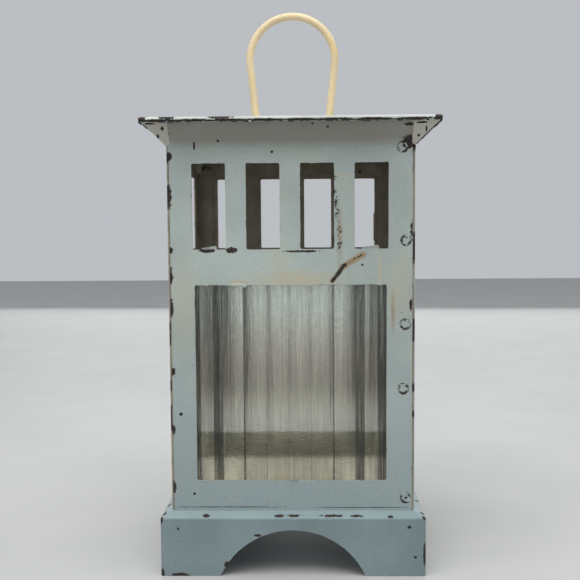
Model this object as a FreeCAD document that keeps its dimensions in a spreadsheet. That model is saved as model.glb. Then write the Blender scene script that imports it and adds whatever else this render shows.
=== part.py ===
"""Hurricane candle lantern: a square sheet-metal body of four lapped walls on an arched plinth, under a
flat hemmed roof with a wire bail. Millimetres, +Z up, origin at the centre of the plinth's footprint,
front wall facing -Y.

Each wall is drawn as if it were the front one and then turned about Z into its place."""
import FreeCAD, Part
import math
import os
import Sketcher

doc = FreeCAD.newDocument("hurricane_candle_lantern")

# ---------------------------------------------------------------- driving sizes
SIZES = [
    ("body_width", 100.0, "outer width of the square body"),
    ("sheet", 0.6, "thickness of the sheet metal"),
    ("base_height", 26.2, "height of the plinth's top, where the walls stand"),
    ("bottom_rail", 12.7, "from a wall's foot up to its window"),
    ("window_height", 80.35, "height of the glazed opening"),
    ("middle_rail", 14.45, "from the window up to the vents"),
    ("vent_height", 34.45, "height of a vent slot"),
    ("top_rail", 7.65, "from the vents up to the start of the flare"),
    ("roof_rise", 9.8, "from the start of the flare up to the roof's top face"),
    ("roof_overhang", 9.5, "how far the roof stands out past the walls"),
    ("hem_width", 3.0, "width of the hem folded under the roof's edge"),
    ("hem_clearance", 0.2, "gap between a wall's lip and the inside of the hem's fold"),
    ("flare_angle", 36.0, "lean of the flared flap from upright, in degrees"),
    ("flare_bend", 2.5, "radius at the foot of the flare"),
    ("lip_bend", 0.4, "radius where the flap turns level for its lip"),
    ("corner_bend", 0.7, "inside radius of a wall's corner bend"),
    ("roof_corner", 1.2, "corner radius of the roof seen from above"),
    ("lap_setback", 1.2, "distance from the corner to the lapping edge of a wall"),
    ("flange_width", 8.0, "width of the flange that the next wall laps over"),
    ("flange_drop", 3.3, "how far the flange stops below the flare"),
    ("foot_width", 7.0, "width of the foot turned in under a wall"),
    ("foot_inset", 12.0, "distance from the corner to the end of that foot"),
    ("plinth_ledge", 4.3, "how far the plinth's skirts stand out past the walls"),
    ("shoulder_drop", 2.0, "fall of the plinth's sloped shoulder"),
    ("plinth_bend", 1.2, "outside radius of the plinth's folds"),
    ("arch_foot", 24.55, "width of skirt left standing at each side of the arch"),
    ("arch_rise", 19.2, "height of the arch"),
    ("pattern_shift", -0.4, "sideways shift of a wall's cut-outs"),
    ("stile_width", 11.15, "width of the wall left at each side of the window"),
    ("vent_margin", 10.425, "width of the wall left at each side of the row of vents"),
    ("vent_bar", 8.25, "width of a bar between two vents"),
    ("vent_count", 4, "vent slots in a row"),
    ("cutout_round", 0.7, "corner radius of vents and windows"),
    ("pane_thickness", 2.4, "thickness of the glass"),
    ("pane_gap", 0.1, "gap between the glass and what holds it"),
    ("pane_side_lap", 2.1, "how far a fixed pane reaches past the window's side"),
    ("pane_end_lap", 2.4, "how far a pane reaches past the window's top and bottom"),
    ("flute_pitch", 9.15, "distance between flutes in the glass"),
    ("flute_width", 8.5, "width of one flute"),
    ("flute_depth", 0.8, "depth of one flute"),
    ("tab_thickness", 0.5, "thickness of a glass tab"),
    ("tab_width", 5.0, "width of a glass tab"),
    ("tab_spread", 35.0, "distance between the two tabs of a pair"),
    ("tab_foot", 4.6, "length of the tab's foot on the wall"),
    ("tab_finger", 9.0, "length of a lower tab's finger behind the glass"),
    ("tab_finger_top", 2.2, "length of an upper tab's finger behind the glass"),
    ("tab_round", 1.8, "corner radius of a lower tab's finger"),
    ("door_sheet", 0.8, "thickness of the door panel"),
    ("door_gap", 0.15, "gap between the closed door and the back wall"),
    ("door_jamb", 9.0, "width of the back wall left at each side of the doorway"),
    ("doorway_sill", 4.8, "from the back wall's foot up to the doorway"),
    ("doorway_head", 5.6, "from the doorway up to the start of the flare"),
    ("door_lap", 4.0, "how far the door laps the doorway at each side"),
    ("door_end_lap", 2.4, "how far the door laps the doorway at top and bottom"),
    ("door_round", 1.5, "corner radius of the door panel"),
    ("door_pane_clearance", 0.8, "gap between the door's pane and the doorway's side"),
    ("hinge_offset", 1.2, "hinge axis outside the side wall's face"),
    ("hinge_standoff", 1.5, "hinge axis outside the back wall's face"),
    ("hinge_height", 14.0, "height of one hinge"),
    ("hinge_low", 29.8, "from the plinth up to the middle of the lower hinge"),
    ("hinge_high", 31.8, "from the start of the flare down to the middle of the upper hinge"),
    ("leaf_thickness", 0.6, "thickness of a hinge leaf"),
    ("leaf_width", 11.0, "width of the leaf on the side wall"),
    ("door_leaf_width", 9.6, "width of the leaf on the door"),
    ("knuckle_radius", 1.5, "outer radius of a hinge knuckle"),
    ("knuckle_length", 4.2, "length of each outer knuckle"),
    ("arm_lap", 1.0, "how far a knuckle's arm runs into its leaf's plate"),
    ("knuckle_gap", 0.25, "gap between neighbouring knuckles and from knuckle to leaf"),
    ("pin_radius", 0.8, "radius of a hinge pin"),
    ("pin_clearance", 0.05, "radial clearance of pins, studs and trunnions in their holes"),
    ("pin_head_radius", 1.45, "radius of a hinge pin's heads"),
    ("pin_head", 0.7, "thickness of a hinge pin's heads"),
    ("knob_inset", 11.5, "from the door's edge in to the knob"),
    ("knob_rise", 8.15, "from the window's top edge up to the knob"),
    ("knob_radius", 3.8, "radius of the knob"),
    ("knob_length", 7.6, "how far the knob stands out of the door"),
    ("knob_shank", 1.0, "radius of the knob's shank"),
    ("knob_flange", 0.7, "thickness of the knob's foot on the door"),
    ("knob_cove", 0.4, "height of the slope from the knob's foot to its neck"),
    ("knob_peen", 0.6, "thickness of the peened end of the knob's shank"),
    ("washer_radius", 3.2, "radius of the washer inside the door"),
    ("washer_thickness", 0.5, "thickness of that washer"),
    ("button_side_gap", 0.2, "gap between the door's edge and the hanging turn button"),
    ("button_rise", 65.8, "from the plinth up to the turn button's stud"),
    ("button_width", 3.6, "width of the turn button"),
    ("button_reach", 10.0, "length of the turn button from its stud"),
    ("button_thickness", 0.8, "thickness of the turn button"),
    ("button_gap", 0.3, "gap between the turn button and the door"),
    ("stud_radius", 0.9, "radius of the turn button's stud"),
    ("stud_shoulder", 1.6, "radius of the stud's shoulder and head"),
    ("stud_head", 0.8, "height of the stud's head"),
    ("cup_radius", 20.5, "outer radius of the candle cup"),
    ("cup_height", 7.6, "height of the candle cup"),
    ("cup_lip", 0.9, "width of the cup's turned rim"),
    ("rivet_radius", 1.5, "radius of a rivet's shank"),
    ("rivet_head_radius", 2.6, "radius of a rivet's head"),
    ("rivet_head", 1.1, "height of a rivet's head"),
    ("wire_radius", 1.65, "radius of the bail wire"),
    ("bail_rise", 52.9, "from the roof up to the top of the bail"),
    ("bail_radius", 19.0, "radius of the bail's loop, to the middle of the wire"),
    ("bail_lean", 5.9, "inward lean of the bail's legs, in degrees"),
    ("bail_bend", 2.5, "radius of the bend from leg to trunnion"),
    ("trunnion_height", 4.0, "height of the bail's hinge axis above the roof"),
    ("ear_inside", 19.3, "distance from the middle to an ear's inner face"),
    ("ear_thickness", 1.0, "thickness of an ear"),
    ("ear_half_width", 3.8, "half the width of an ear, and the radius of its top"),
    ("ear_foot", 10.0, "length of an ear's foot on the roof"),
    ("head_gap", 0.3, "gap between an ear and the peened end of the bail"),
    ("head_radius", 2.3, "radius of the bail's peened ends"),
    ("head_length", 0.9, "thickness of the bail's peened ends"),
]

sheet = doc.addObject("Spreadsheet::Sheet", "sizes")
for row, (alias, value, meaning) in enumerate(SIZES, start=1):
    sheet.set(f"A{row}", meaning)
    sheet.set(f"B{row}", str(value))
    sheet.setAlias(f"B{row}", alias)
doc.recompute()

# ------------------------------------------------- places that follow from them
PLACES = [
    ("half", "sizes.body_width / 2"),
    ("inner", "sizes.body_width / 2 - sizes.sheet"),
    ("lap_edge", "sizes.body_width / 2 - sizes.lap_setback"),
    ("plinth_half", "sizes.body_width / 2 + sizes.plinth_ledge"),
    ("skirt_top", "sizes.base_height - sizes.shoulder_drop"),
    ("arch_half", "plinth_half - sizes.arch_foot"),
    ("arch_radius", "(arch_half ^ 2 + sizes.arch_rise ^ 2) / (2 * sizes.arch_rise)"),
    ("window_left", "sizes.pattern_shift + sizes.stile_width - half"),
    ("window_right", "sizes.pattern_shift - sizes.stile_width + half"),
    ("window_bottom", "sizes.base_height + sizes.bottom_rail"),
    ("window_top", "window_bottom + sizes.window_height"),
    ("vent_bottom", "window_top + sizes.middle_rail"),
    ("vent_top", "vent_bottom + sizes.vent_height"),
    ("vent_row", "sizes.body_width - 2 * sizes.vent_margin"),
    ("vent_width", "(vent_row - (sizes.vent_count - 1) * sizes.vent_bar) / sizes.vent_count"),
    ("vent_pitch", "vent_width + sizes.vent_bar"),
    ("vent_first", "sizes.pattern_shift - vent_row / 2"),
    ("flare", "vent_top + sizes.top_rail"),
    ("flange_top", "flare - sizes.flange_drop"),
    ("roof", "flare + sizes.roof_rise"),
    ("lip_top", "roof - sizes.sheet"),
    ("lip_bottom", "roof - 2 * sizes.sheet"),
    ("hem_bottom", "roof - 3 * sizes.sheet"),
    ("roof_half", "half + sizes.roof_overhang"),
    ("flare_reach", "half + (lip_bottom - flare) * tan(sizes.flare_angle)"),
    ("lip_end", "roof_half - sizes.sheet - sizes.hem_clearance"),
    ("flap_miter", "sizes.sheet * tan(sizes.flare_angle / 2)"),
    ("lip_miter", "sizes.sheet * tan(45 - sizes.flare_angle / 2)"),
    ("pane_bottom", "window_bottom - sizes.pane_end_lap"),
    ("pane_top", "window_top + sizes.pane_end_lap"),
    ("pane_half", "half - sizes.stile_width + sizes.pane_side_lap"),
    ("doorway_half", "half - sizes.door_jamb"),
    ("doorway_bottom", "sizes.base_height + sizes.doorway_sill"),
    ("doorway_top", "flare - sizes.doorway_head"),
    ("door_pane_half", "doorway_half - sizes.door_pane_clearance"),
    ("door_half", "doorway_half + sizes.door_lap"),
    ("door_inner", "half + sizes.door_gap"),
    ("door_outer", "door_inner + sizes.door_sheet"),
    ("hinge_x", "half + sizes.hinge_offset"),
    ("hinge_y", "half + sizes.hinge_standoff"),
    ("hinge_lower", "sizes.base_height + sizes.hinge_low"),
    ("hinge_upper", "flare - sizes.hinge_high"),
    ("knob_x", "door_half - sizes.knob_inset"),
    ("knob_z", "window_top + sizes.knob_rise"),
    ("button_x", "door_half + sizes.button_side_gap + sizes.button_width / 2"),
    ("button_z", "sizes.base_height + sizes.button_rise"),
    ("button_inner", "door_outer + sizes.button_gap"),
    ("button_outer", "button_inner + sizes.button_thickness"),
    ("flute_radius", "(sizes.flute_width ^ 2 / 4 + sizes.flute_depth ^ 2) / (2 * sizes.flute_depth)"),
    ("pivot", "roof + sizes.trunnion_height"),
    ("bail_centre", "roof + sizes.bail_rise - sizes.wire_radius - sizes.bail_radius"),
    ("ear_outside", "sizes.ear_inside + sizes.ear_thickness"),
    ("ear_end", "ear_outside + sizes.ear_foot"),
    ("ear_rivet", "ear_outside + sizes.ear_foot / 2"),
    ("trunnion_end", "ear_outside + sizes.head_gap + sizes.head_length / 2"),
]

follow = doc.addObject("Spreadsheet::Sheet", "places")
for row, (alias, rule) in enumerate(PLACES, start=1):
    follow.set(f"A{row}", alias.replace("_", " "))
    follow.set(f"B{row}", f"={rule}")
    follow.setAlias(f"B{row}", alias)
doc.recompute()

HALF = "places.half"
SHEET = "sizes.sheet"
INNER = "places.inner"
BASE = "sizes.base_height"
SHIFT = "sizes.pattern_shift"
ROOF = "places.roof"
PIVOT = "places.pivot"
DOOR_INNER = "places.door_inner"
DOOR_OUTER = "places.door_outer"
HINGE_X = "places.hinge_x"
HINGE_Y = "places.hinge_y"

FRONT, RIGHT, BACK, LEFT = 0, 90, 180, 270


def size(alias):
    """The number in the cell of that alias."""
    return float(sheet.get(alias))


def place(alias):
    """The number that a place works out at."""
    return float(follow.get(alias))


# ------------------------------------------------------------- modelling helpers
def new_body(label, turn=FRONT, several=False):
    """A body with that label, turned about Z from the front into its place."""
    body = doc.addObject("PartDesign::Body", label)
    body.Label = label
    body.AllowCompound = several
    body.Placement = FreeCAD.Placement(FreeCAD.Vector(0, 0, 0), FreeCAD.Vector(0, 0, 1), turn)
    return body


def new_sketch(body, role, along="0", across="0", up="0"):
    """A sketch on one of the body's origin planes, moved along its normal and within the plane."""
    sketch = body.newObject("Sketcher::SketchObject", "Sketch")
    plane = next(item for item in body.Origin.OriginFeatures if item.Role == role)
    sketch.AttachmentSupport = [(plane, "")]
    sketch.MapMode = "FlatFace"
    sketch.setExpression("AttachmentOffset.Base.x", across)
    sketch.setExpression("AttachmentOffset.Base.y", up)
    sketch.setExpression("AttachmentOffset.Base.z", along)
    doc.recompute()
    return sketch


def tie(sketch, kind, *where):
    """A dimension whose last argument is an expression."""
    *geometry, start, expression = where
    index = sketch.addConstraint(Sketcher.Constraint(kind, *geometry, start))
    sketch.setExpression(f"Constraints[{index}]", expression)


def outline(sketch, corners):
    """A closed run of straight lines through corners, each given as two expressions."""
    count = len(corners)
    turn = 2 * math.pi / count
    ring = [FreeCAD.Vector(10 * math.cos(turn * k), 10 * math.sin(turn * k), 0) for k in range(count)]
    first = sketch.GeometryCount
    for k in range(count):
        sketch.addGeometry(Part.LineSegment(ring[k], ring[(k + 1) % count]))
    for k in range(count):
        sketch.addConstraint(Sketcher.Constraint("Coincident", first + k, 2, first + (k + 1) % count, 1))
    for k, (x, y) in enumerate(corners):
        tie(sketch, "DistanceX", -1, 1, first + k, 1, ring[k].x, x)
        tie(sketch, "DistanceY", -1, 1, first + k, 1, ring[k].y, y)
    doc.recompute()


def rectangle(sketch, left, right, bottom, top):
    outline(sketch, [(left, bottom), (right, bottom), (right, top), (left, top)])


def circle(sketch, x, y, radius):
    index = sketch.addGeometry(Part.Circle(FreeCAD.Vector(1, 1, 0), FreeCAD.Vector(0, 0, 1), 1))
    tie(sketch, "DistanceX", -1, 1, index, 3, 1, x)
    tie(sketch, "DistanceY", -1, 1, index, 3, 1, y)
    tie(sketch, "Radius", index, 1, radius)
    doc.recompute()


def pad(body, sketch, length, symmetric=False, reverse=False):
    feature = body.newObject("PartDesign::Pad", "Pad")
    feature.Profile = sketch
    feature.SideType = "Symmetric" if symmetric else "One side"
    feature.Reversed = reverse
    feature.setExpression("Length", length)
    doc.recompute()
    return feature


def pocket(body, sketch, length=None, reverse=False):
    """A cut of that length, or right through both ways; it has to take something away."""
    before = body.Shape.Volume
    feature = body.newObject("PartDesign::Pocket", "Pocket")
    feature.Profile = sketch
    feature.Reversed = reverse
    if length is None:
        feature.SideType = "Symmetric"
        feature.Type = "ThroughAll"
    else:
        feature.setExpression("Length", length)
    doc.recompute()
    if not body.Shape.Volume < before - 1e-3:
        raise RuntimeError(f"a pocket of {body.Label} cuts nothing")
    return feature


def revolve(body, sketch, axis="V_Axis"):
    feature = body.newObject("PartDesign::Revolution", "Revolution")
    feature.Profile = sketch
    feature.ReferenceAxis = (sketch, [axis])
    feature.Angle = 360
    doc.recompute()
    return feature


def repeat(body, features, sketch, count, pitch):
    """A row of features along the sketch's horizontal axis."""
    pattern = body.newObject("PartDesign::LinearPattern", "LinearPattern")
    pattern.Originals = features
    pattern.Direction = (sketch, ["H_Axis"])
    pattern.setExpression("Occurrences", count)
    pattern.setExpression("Length", f"{pitch} * ({count} - 1)")
    body.Tip = pattern
    doc.recompute()
    return pattern


def mirror(body, features, role):
    plane = next(item for item in body.Origin.OriginFeatures if item.Role == role)
    mirrored = body.newObject("PartDesign::Mirrored", "Mirrored")
    mirrored.Originals = features
    mirrored.MirrorPlane = (plane, [""])
    body.Tip = mirrored
    doc.recompute()
    return mirrored


def fillet(body, radius, wanted):
    """Rounds every edge of the body's present shape that the test picks."""
    base = body.Tip
    names = [f"Edge{i}" for i, edge in enumerate(base.Shape.Edges, start=1) if wanted(edge)]
    if not names:
        raise RuntimeError(f"no edge to round on {body.Label}")
    feature = body.newObject("PartDesign::Fillet", "Fillet")
    feature.Base = (base, names)
    feature.setExpression("Radius", radius)
    doc.recompute()
    if "Invalid" in feature.State:
        raise RuntimeError(f"a fillet of {body.Label} failed on {names}")
    return feature


def runs_along(edge, axis):
    """Whether a straight edge is parallel to that axis."""
    if not isinstance(edge.Curve, Part.Line):
        return False
    return abs(edge.Curve.Direction.dot(axis)) > 0.999


def near(edge, **places):
    """Whether the edge's middle is at those coordinates, each given as x=, y= or z=."""
    middle = edge.BoundBox.Center
    return all(abs(getattr(middle, axis) - place) < 0.02 for axis, place in places.items())


X_AXIS, Y_AXIS, Z_AXIS = FreeCAD.Vector(1, 0, 0), FreeCAD.Vector(0, 1, 0), FreeCAD.Vector(0, 0, 1)


# ------------------------------------------------------------------------ plinth
def make_plinth():
    """One folded sheet: flat top, sloped shoulder, four arched skirts, and a hole for the cup's rivet."""
    body = new_body("plinth")
    block = new_sketch(body, "XY_Plane")
    edge = "places.plinth_half"
    rectangle(block, f"-{edge}", edge, f"-{edge}", edge)
    pad(body, block, "places.skirt_top")
    skirt_top = new_sketch(body, "XY_Plane", along="places.skirt_top")
    rectangle(skirt_top, f"-{edge}", edge, f"-{edge}", edge)
    flat_top = new_sketch(body, "XY_Plane", along=BASE)
    rectangle(flat_top, f"-{HALF}", HALF, f"-{HALF}", HALF)
    shoulder = body.newObject("PartDesign::AdditiveLoft", "Shoulder")
    shoulder.Profile = skirt_top
    shoulder.Sections = [flat_top]
    shoulder.Ruled = True
    doc.recompute()
    below, top = place("skirt_top"), size("base_height")
    fillet(body, "sizes.plinth_bend",
           lambda e: e.BoundBox.Center.z < top - 0.01 and e.BoundBox.ZMax > below - 0.01)
    base = body.Tip
    shell = body.newObject("PartDesign::Thickness", "Thickness")
    bottom = next(f"Face{i}" for i, face in enumerate(base.Shape.Faces, start=1)
                  if face.BoundBox.ZMax < 0.01)
    shell.Base = (base, [bottom])
    shell.Reversed = True
    shell.setExpression("Value", SHEET)
    doc.recompute()
    for role in ("XZ_Plane", "YZ_Plane"):
        arch = new_sketch(body, role)
        draw_arch(arch)
        pocket(body, arch)
    hole = new_sketch(body, "XY_Plane", along=BASE)
    circle(hole, "0", "0", "sizes.rivet_radius + sizes.pin_clearance")
    pocket(body, hole, SHEET)
    return body


def draw_arch(sketch):
    """The part of a circle above the ground line, closed a little below it."""
    half, radius = place("arch_half"), place("arch_radius")
    centre = size("arch_rise") - radius
    start = math.atan2(-centre, half)
    full = Part.Circle(FreeCAD.Vector(0, centre, 0), FreeCAD.Vector(0, 0, 1), radius)
    arc = sketch.addGeometry(Part.ArcOfCircle(full, start, math.pi - start))
    right, left = FreeCAD.Vector(half, 0, 0), FreeCAD.Vector(-half, 0, 0)
    line = sketch.addGeometry(Part.LineSegment(left, right))
    sketch.addConstraint(Sketcher.Constraint("Coincident", arc, 2, line, 1))
    sketch.addConstraint(Sketcher.Constraint("Coincident", line, 2, arc, 1))
    tie(sketch, "DistanceX", -1, 1, line, 1, -half, "-places.arch_half")
    tie(sketch, "DistanceX", -1, 1, line, 2, half, "places.arch_half")
    tie(sketch, "DistanceY", -1, 1, line, 1, 0, "0")
    tie(sketch, "DistanceY", -1, 1, line, 2, 0, "0")
    tie(sketch, "Radius", arc, radius, "places.arch_radius")
    doc.recompute()


# ------------------------------------------------------------------------- walls
def cut_vents(body):
    """The row of vent slots, centred on the wall's shifted middle."""
    slot = new_sketch(body, "XZ_Plane")
    rectangle(slot, "places.vent_first", "places.vent_first + places.vent_width",
              "places.vent_bottom", "places.vent_top")
    cut = pocket(body, slot)
    repeat(body, [cut], slot, "sizes.vent_count", "places.vent_pitch")


def cut_window(body):
    window = new_sketch(body, "XZ_Plane")
    rectangle(window, "places.window_left", "places.window_right",
              "places.window_bottom", "places.window_top")
    pocket(body, window)


def round_cutouts(body, thickness):
    """Rounds the short edges through the sheet at the corners of its cut-outs."""
    low, high = place("window_bottom"), place("vent_top")
    reach = place("half") - 1.5 * size("lap_setback")
    fillet(body, "sizes.cutout_round",
           lambda e: runs_along(e, Y_AXIS) and abs(e.Length - thickness) < 0.01
           and low - 0.1 < e.BoundBox.Center.z < high + 0.1
           and abs(e.BoundBox.Center.x) < min(reach, place("door_half") - 1))


def make_wall(label, turn, doorway=False):
    """A bent sheet: panel, corner flange, turned-in foot, flared flap and lip, with its cut-outs."""
    body = new_body(label, turn)
    section = new_sketch(body, "XY_Plane", along=BASE)
    outline(section, [
        (f"-{INNER}", f"-{HALF}"),
        ("places.lap_edge", f"-{HALF}"),
        ("places.lap_edge", f"-{INNER}"),
        (f"-{INNER} + {SHEET}", f"-{INNER}"),
        (f"-{INNER} + {SHEET}", f"-{HALF} + sizes.flange_width"),
        (f"-{INNER}", f"-{HALF} + sizes.flange_width"),
    ])
    pad(body, section, f"places.flange_top - {BASE}")
    half, thick = place("half"), size("sheet")
    fillet(body, f"sizes.corner_bend + {SHEET}",
           lambda e: runs_along(e, Z_AXIS) and near(e, x=-half + thick, y=-half))
    fillet(body, "sizes.corner_bend",
           lambda e: runs_along(e, Z_AXIS) and near(e, x=-half + 2 * thick, y=-half + thick))
    flap = new_sketch(body, "YZ_Plane", along=f"-{INNER}")
    outline(flap, [
        (f"-{HALF}", "places.flange_top"),
        (f"-{HALF}", "places.flare"),
        ("-places.flare_reach", "places.lip_bottom"),
        ("-places.lip_end", "places.lip_bottom"),
        ("-places.lip_end", "places.lip_top"),
        ("-places.flare_reach + places.lip_miter", "places.lip_top"),
        (f"-{INNER}", "places.flare + places.flap_miter"),
        (f"-{INNER}", "places.flange_top"),
    ])
    pad(body, flap, f"{INNER} + places.lap_edge")
    flare, miter = place("flare"), place("flap_miter")
    fillet(body, "sizes.flare_bend", lambda e: runs_along(e, X_AXIS) and near(e, y=-half, z=flare))
    fillet(body, f"sizes.flare_bend + {SHEET}",
           lambda e: runs_along(e, X_AXIS) and near(e, y=-half + thick, z=flare + miter))
    reach, lip = place("flare_reach"), place("lip_bottom")
    fillet(body, "sizes.lip_bend", lambda e: runs_along(e, X_AXIS) and near(e, y=-reach, z=lip))
    foot = new_sketch(body, "XY_Plane", along=BASE)
    rectangle(foot, f"sizes.foot_inset - {HALF}", f"{HALF} - sizes.foot_inset",
              f"-{INNER} - {SHEET} / 2", f"-{INNER} + sizes.foot_width")
    pad(body, foot, SHEET)
    if doorway:
        way = new_sketch(body, "XZ_Plane")
        rectangle(way, "-places.doorway_half", "places.doorway_half",
                  "places.doorway_bottom", "places.doorway_top")
        pocket(body, way)
    else:
        cut_vents(body)
        cut_window(body)
        round_cutouts(body, thick)
    return body


# -------------------------------------------------------------------------- roof
def make_roof():
    """A flat sheet, its edge folded under all round to grip the walls' lips, with two rivet holes."""
    body = new_body("roof_plate")
    edge = "places.roof_half"
    block = new_sketch(body, "XY_Plane", along="places.hem_bottom")
    rectangle(block, f"-{edge}", edge, f"-{edge}", edge)
    pad(body, block, f"3 * {SHEET}")
    fillet(body, "sizes.roof_corner", lambda e: runs_along(e, Z_AXIS))
    fillet(body, f"1.4 * {SHEET}", lambda e: e.BoundBox.ZLength < 0.01)
    hollow = new_sketch(body, "XY_Plane", along="places.hem_bottom")
    inside = f"({edge} - sizes.hem_width)"
    rectangle(hollow, f"-{inside}", inside, f"-{inside}", inside)
    pocket(body, hollow, f"2 * {SHEET}", reverse=True)
    slot = new_sketch(body, "XY_Plane", along="places.lip_bottom")
    inside = f"({edge} - {SHEET})"
    rectangle(slot, f"-{inside}", inside, f"-{inside}", inside)
    pocket(body, slot, SHEET, reverse=True)
    holes = new_sketch(body, "XY_Plane", along=ROOF)
    for side in ("-", ""):
        circle(holes, f"{side}places.ear_rivet", "0", "sizes.rivet_radius + sizes.pin_clearance")
    pocket(body, holes, SHEET)
    return body


# ------------------------------------------------------------------------- glass
def make_pane(label, turn, face, reach):
    """A pane behind the sheet whose inner face lies at that distance; flutes run down its inner side."""
    body = new_body(label, turn)
    slab = new_sketch(body, "XY_Plane", along="places.pane_bottom")
    outer = f"({face} - sizes.pane_gap)"
    inner = f"({outer} - sizes.pane_thickness)"
    rectangle(slab, f"{SHIFT} - {reach}", f"{SHIFT} + {reach}", f"-{outer}", f"-{inner}")
    pad(body, slab, "places.pane_top - places.pane_bottom")
    flute = new_sketch(body, "XY_Plane", along="places.pane_bottom")
    radius = "places.flute_radius"
    count = f"ceil(2 * {reach} / sizes.flute_pitch)"
    first = f"{SHIFT} - sizes.flute_pitch * ({count} - 1) / 2"
    circle(flute, first, f"-{inner} + {radius} - sizes.flute_depth", radius)
    cut = pocket(body, flute, "places.pane_top - places.pane_bottom", reverse=True)
    repeat(body, [cut], flute, count, "sizes.flute_pitch")
    return body


def draw_tab(sketch, face, seat, finger, up):
    """A tab's bent strip: a foot on the sheet, a step past the glass and a finger behind it."""
    thick = "sizes.tab_thickness"
    back = f"({face} - 2 * sizes.pane_gap - sizes.pane_thickness)"
    sign = "+" if up else "-"
    away = "-" if up else "+"
    foot_end = f"{seat} {away} sizes.tab_foot"
    step = f"{seat} {away} {thick}"
    outline(sketch, [
        (f"-{face}", foot_end),
        (f"-{face}", seat),
        (f"-{back}", seat),
        (f"-{back}", f"{seat} {sign} {finger}"),
        (f"-{back} + {thick}", f"{seat} {sign} {finger}"),
        (f"-{back} + {thick}", step),
        (f"-{face} + {thick}", step),
        (f"-{face} + {thick}", foot_end),
    ])


def make_tabs(label, turn, face):
    """Four tabs that hold a pane: two with long fingers below, two short ones above."""
    body = new_body(label, turn, several=True)
    start = "sizes.tab_spread / 2 - sizes.tab_width / 2"
    lower = new_sketch(body, "YZ_Plane", along=start)
    draw_tab(lower, face, "places.pane_bottom - sizes.pane_gap", "sizes.tab_finger", up=True)
    lower_pad = pad(body, lower, "sizes.tab_width")
    upper = new_sketch(body, "YZ_Plane", along=start)
    draw_tab(upper, face, "places.pane_top + sizes.pane_gap", "sizes.tab_finger_top", up=False)
    upper_pad = pad(body, upper, "sizes.tab_width")
    mirror(body, [lower_pad, upper_pad], "YZ_Plane")
    tip = place("pane_bottom") - size("pane_gap") + size("tab_finger")
    fillet(body, "sizes.tab_round", lambda e: runs_along(e, Y_AXIS) and near(e, z=tip))
    return body


# -------------------------------------------------------------------------- door
def make_door():
    """A flat panel that laps the doorway, with the same vents and window as the other walls."""
    body = new_body("door_panel", BACK)
    plate = new_sketch(body, "XZ_Plane", along=DOOR_INNER)
    rectangle(plate, "-places.door_half", "places.door_half",
              "places.doorway_bottom - sizes.door_end_lap", "places.doorway_top + sizes.door_end_lap")
    pad(body, plate, "sizes.door_sheet")
    fillet(body, "sizes.door_round", lambda e: runs_along(e, Y_AXIS))
    cut_vents(body)
    cut_window(body)
    round_cutouts(body, size("door_sheet"))
    hole = new_sketch(body, "XZ_Plane")
    circle(hole, "places.knob_x", "places.knob_z", "sizes.knob_shank + sizes.pin_clearance")
    pocket(body, hole)
    return body


def make_knuckles(body, starts, length):
    """Rolled knuckles round the hinge axis, each starting at a given height."""
    for start in starts:
        roll = new_sketch(body, "XY_Plane", along=start)
        circle(roll, f"-{HINGE_X}", f"-{HINGE_Y}", "sizes.knuckle_radius")
        circle(roll, f"-{HINGE_X}", f"-{HINGE_Y}", "sizes.pin_radius + sizes.pin_clearance")
        pad(body, roll, length)


def cut_bore(body):
    """Opens the pin's hole again where a leaf's arm runs into it."""
    bore = new_sketch(body, "XY_Plane")
    circle(bore, f"-{HINGE_X}", f"-{HINGE_Y}", "sizes.pin_radius + sizes.pin_clearance")
    pocket(body, bore)


def make_fixed_leaf(label, middle):
    """The leaf on the side wall's face, with two arms out to the outer knuckles."""
    body = new_body(label, BACK)
    bottom = f"({middle} - sizes.hinge_height / 2)"
    clear = f"({HINGE_Y} - sizes.knuckle_radius - sizes.knuckle_gap)"
    plate = new_sketch(body, "XY_Plane", along=bottom)
    rectangle(plate, f"-{HALF} - sizes.leaf_thickness", f"-{HALF}",
              f"-{clear}", f"-{clear} + sizes.leaf_width")
    pad(body, plate, "sizes.hinge_height")
    starts = (bottom, f"{bottom} + sizes.hinge_height - sizes.knuckle_length")
    for start in starts:
        arm = new_sketch(body, "XY_Plane", along=start)
        rectangle(arm, f"-{HALF} - sizes.leaf_thickness", f"-{HALF}",
                  f"-{HINGE_Y}", f"-{clear} + sizes.arm_lap")
        pad(body, arm, "sizes.knuckle_length")
    make_knuckles(body, starts, "sizes.knuckle_length")
    cut_bore(body)
    return body


def make_door_leaf(label, middle):
    """The leaf on the door's face, with one arm out to the middle knuckle."""
    body = new_body(label, BACK)
    bottom = f"({middle} - sizes.hinge_height / 2)"
    clear = f"({HINGE_X} - sizes.knuckle_radius - 2 * sizes.knuckle_gap)"
    outer = f"-{DOOR_OUTER} - sizes.leaf_thickness"
    plate = new_sketch(body, "XY_Plane", along=bottom)
    rectangle(plate, f"-{clear}", f"-{clear} + sizes.door_leaf_width", outer, f"-{DOOR_OUTER}")
    pad(body, plate, "sizes.hinge_height")
    start = f"{bottom} + sizes.knuckle_length + sizes.knuckle_gap"
    length = "sizes.hinge_height - 2 * sizes.knuckle_length - 2 * sizes.knuckle_gap"
    arm = new_sketch(body, "XY_Plane", along=start)
    rectangle(arm, f"-{HINGE_X}", f"-{clear} + sizes.arm_lap", outer, f"-{DOOR_OUTER}")
    pad(body, arm, length)
    make_knuckles(body, (start,), length)
    cut_bore(body)
    return body


def turned(label, turn, role, place, profile, **options):
    """A body turned about an axis through place, from half of its outline."""
    body = new_body(label, turn, **options)
    across, up, along = place
    sketch = new_sketch(body, role, along=along, across=across, up=up)
    outline(sketch, profile)
    revolve(body, sketch)
    return body


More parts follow.
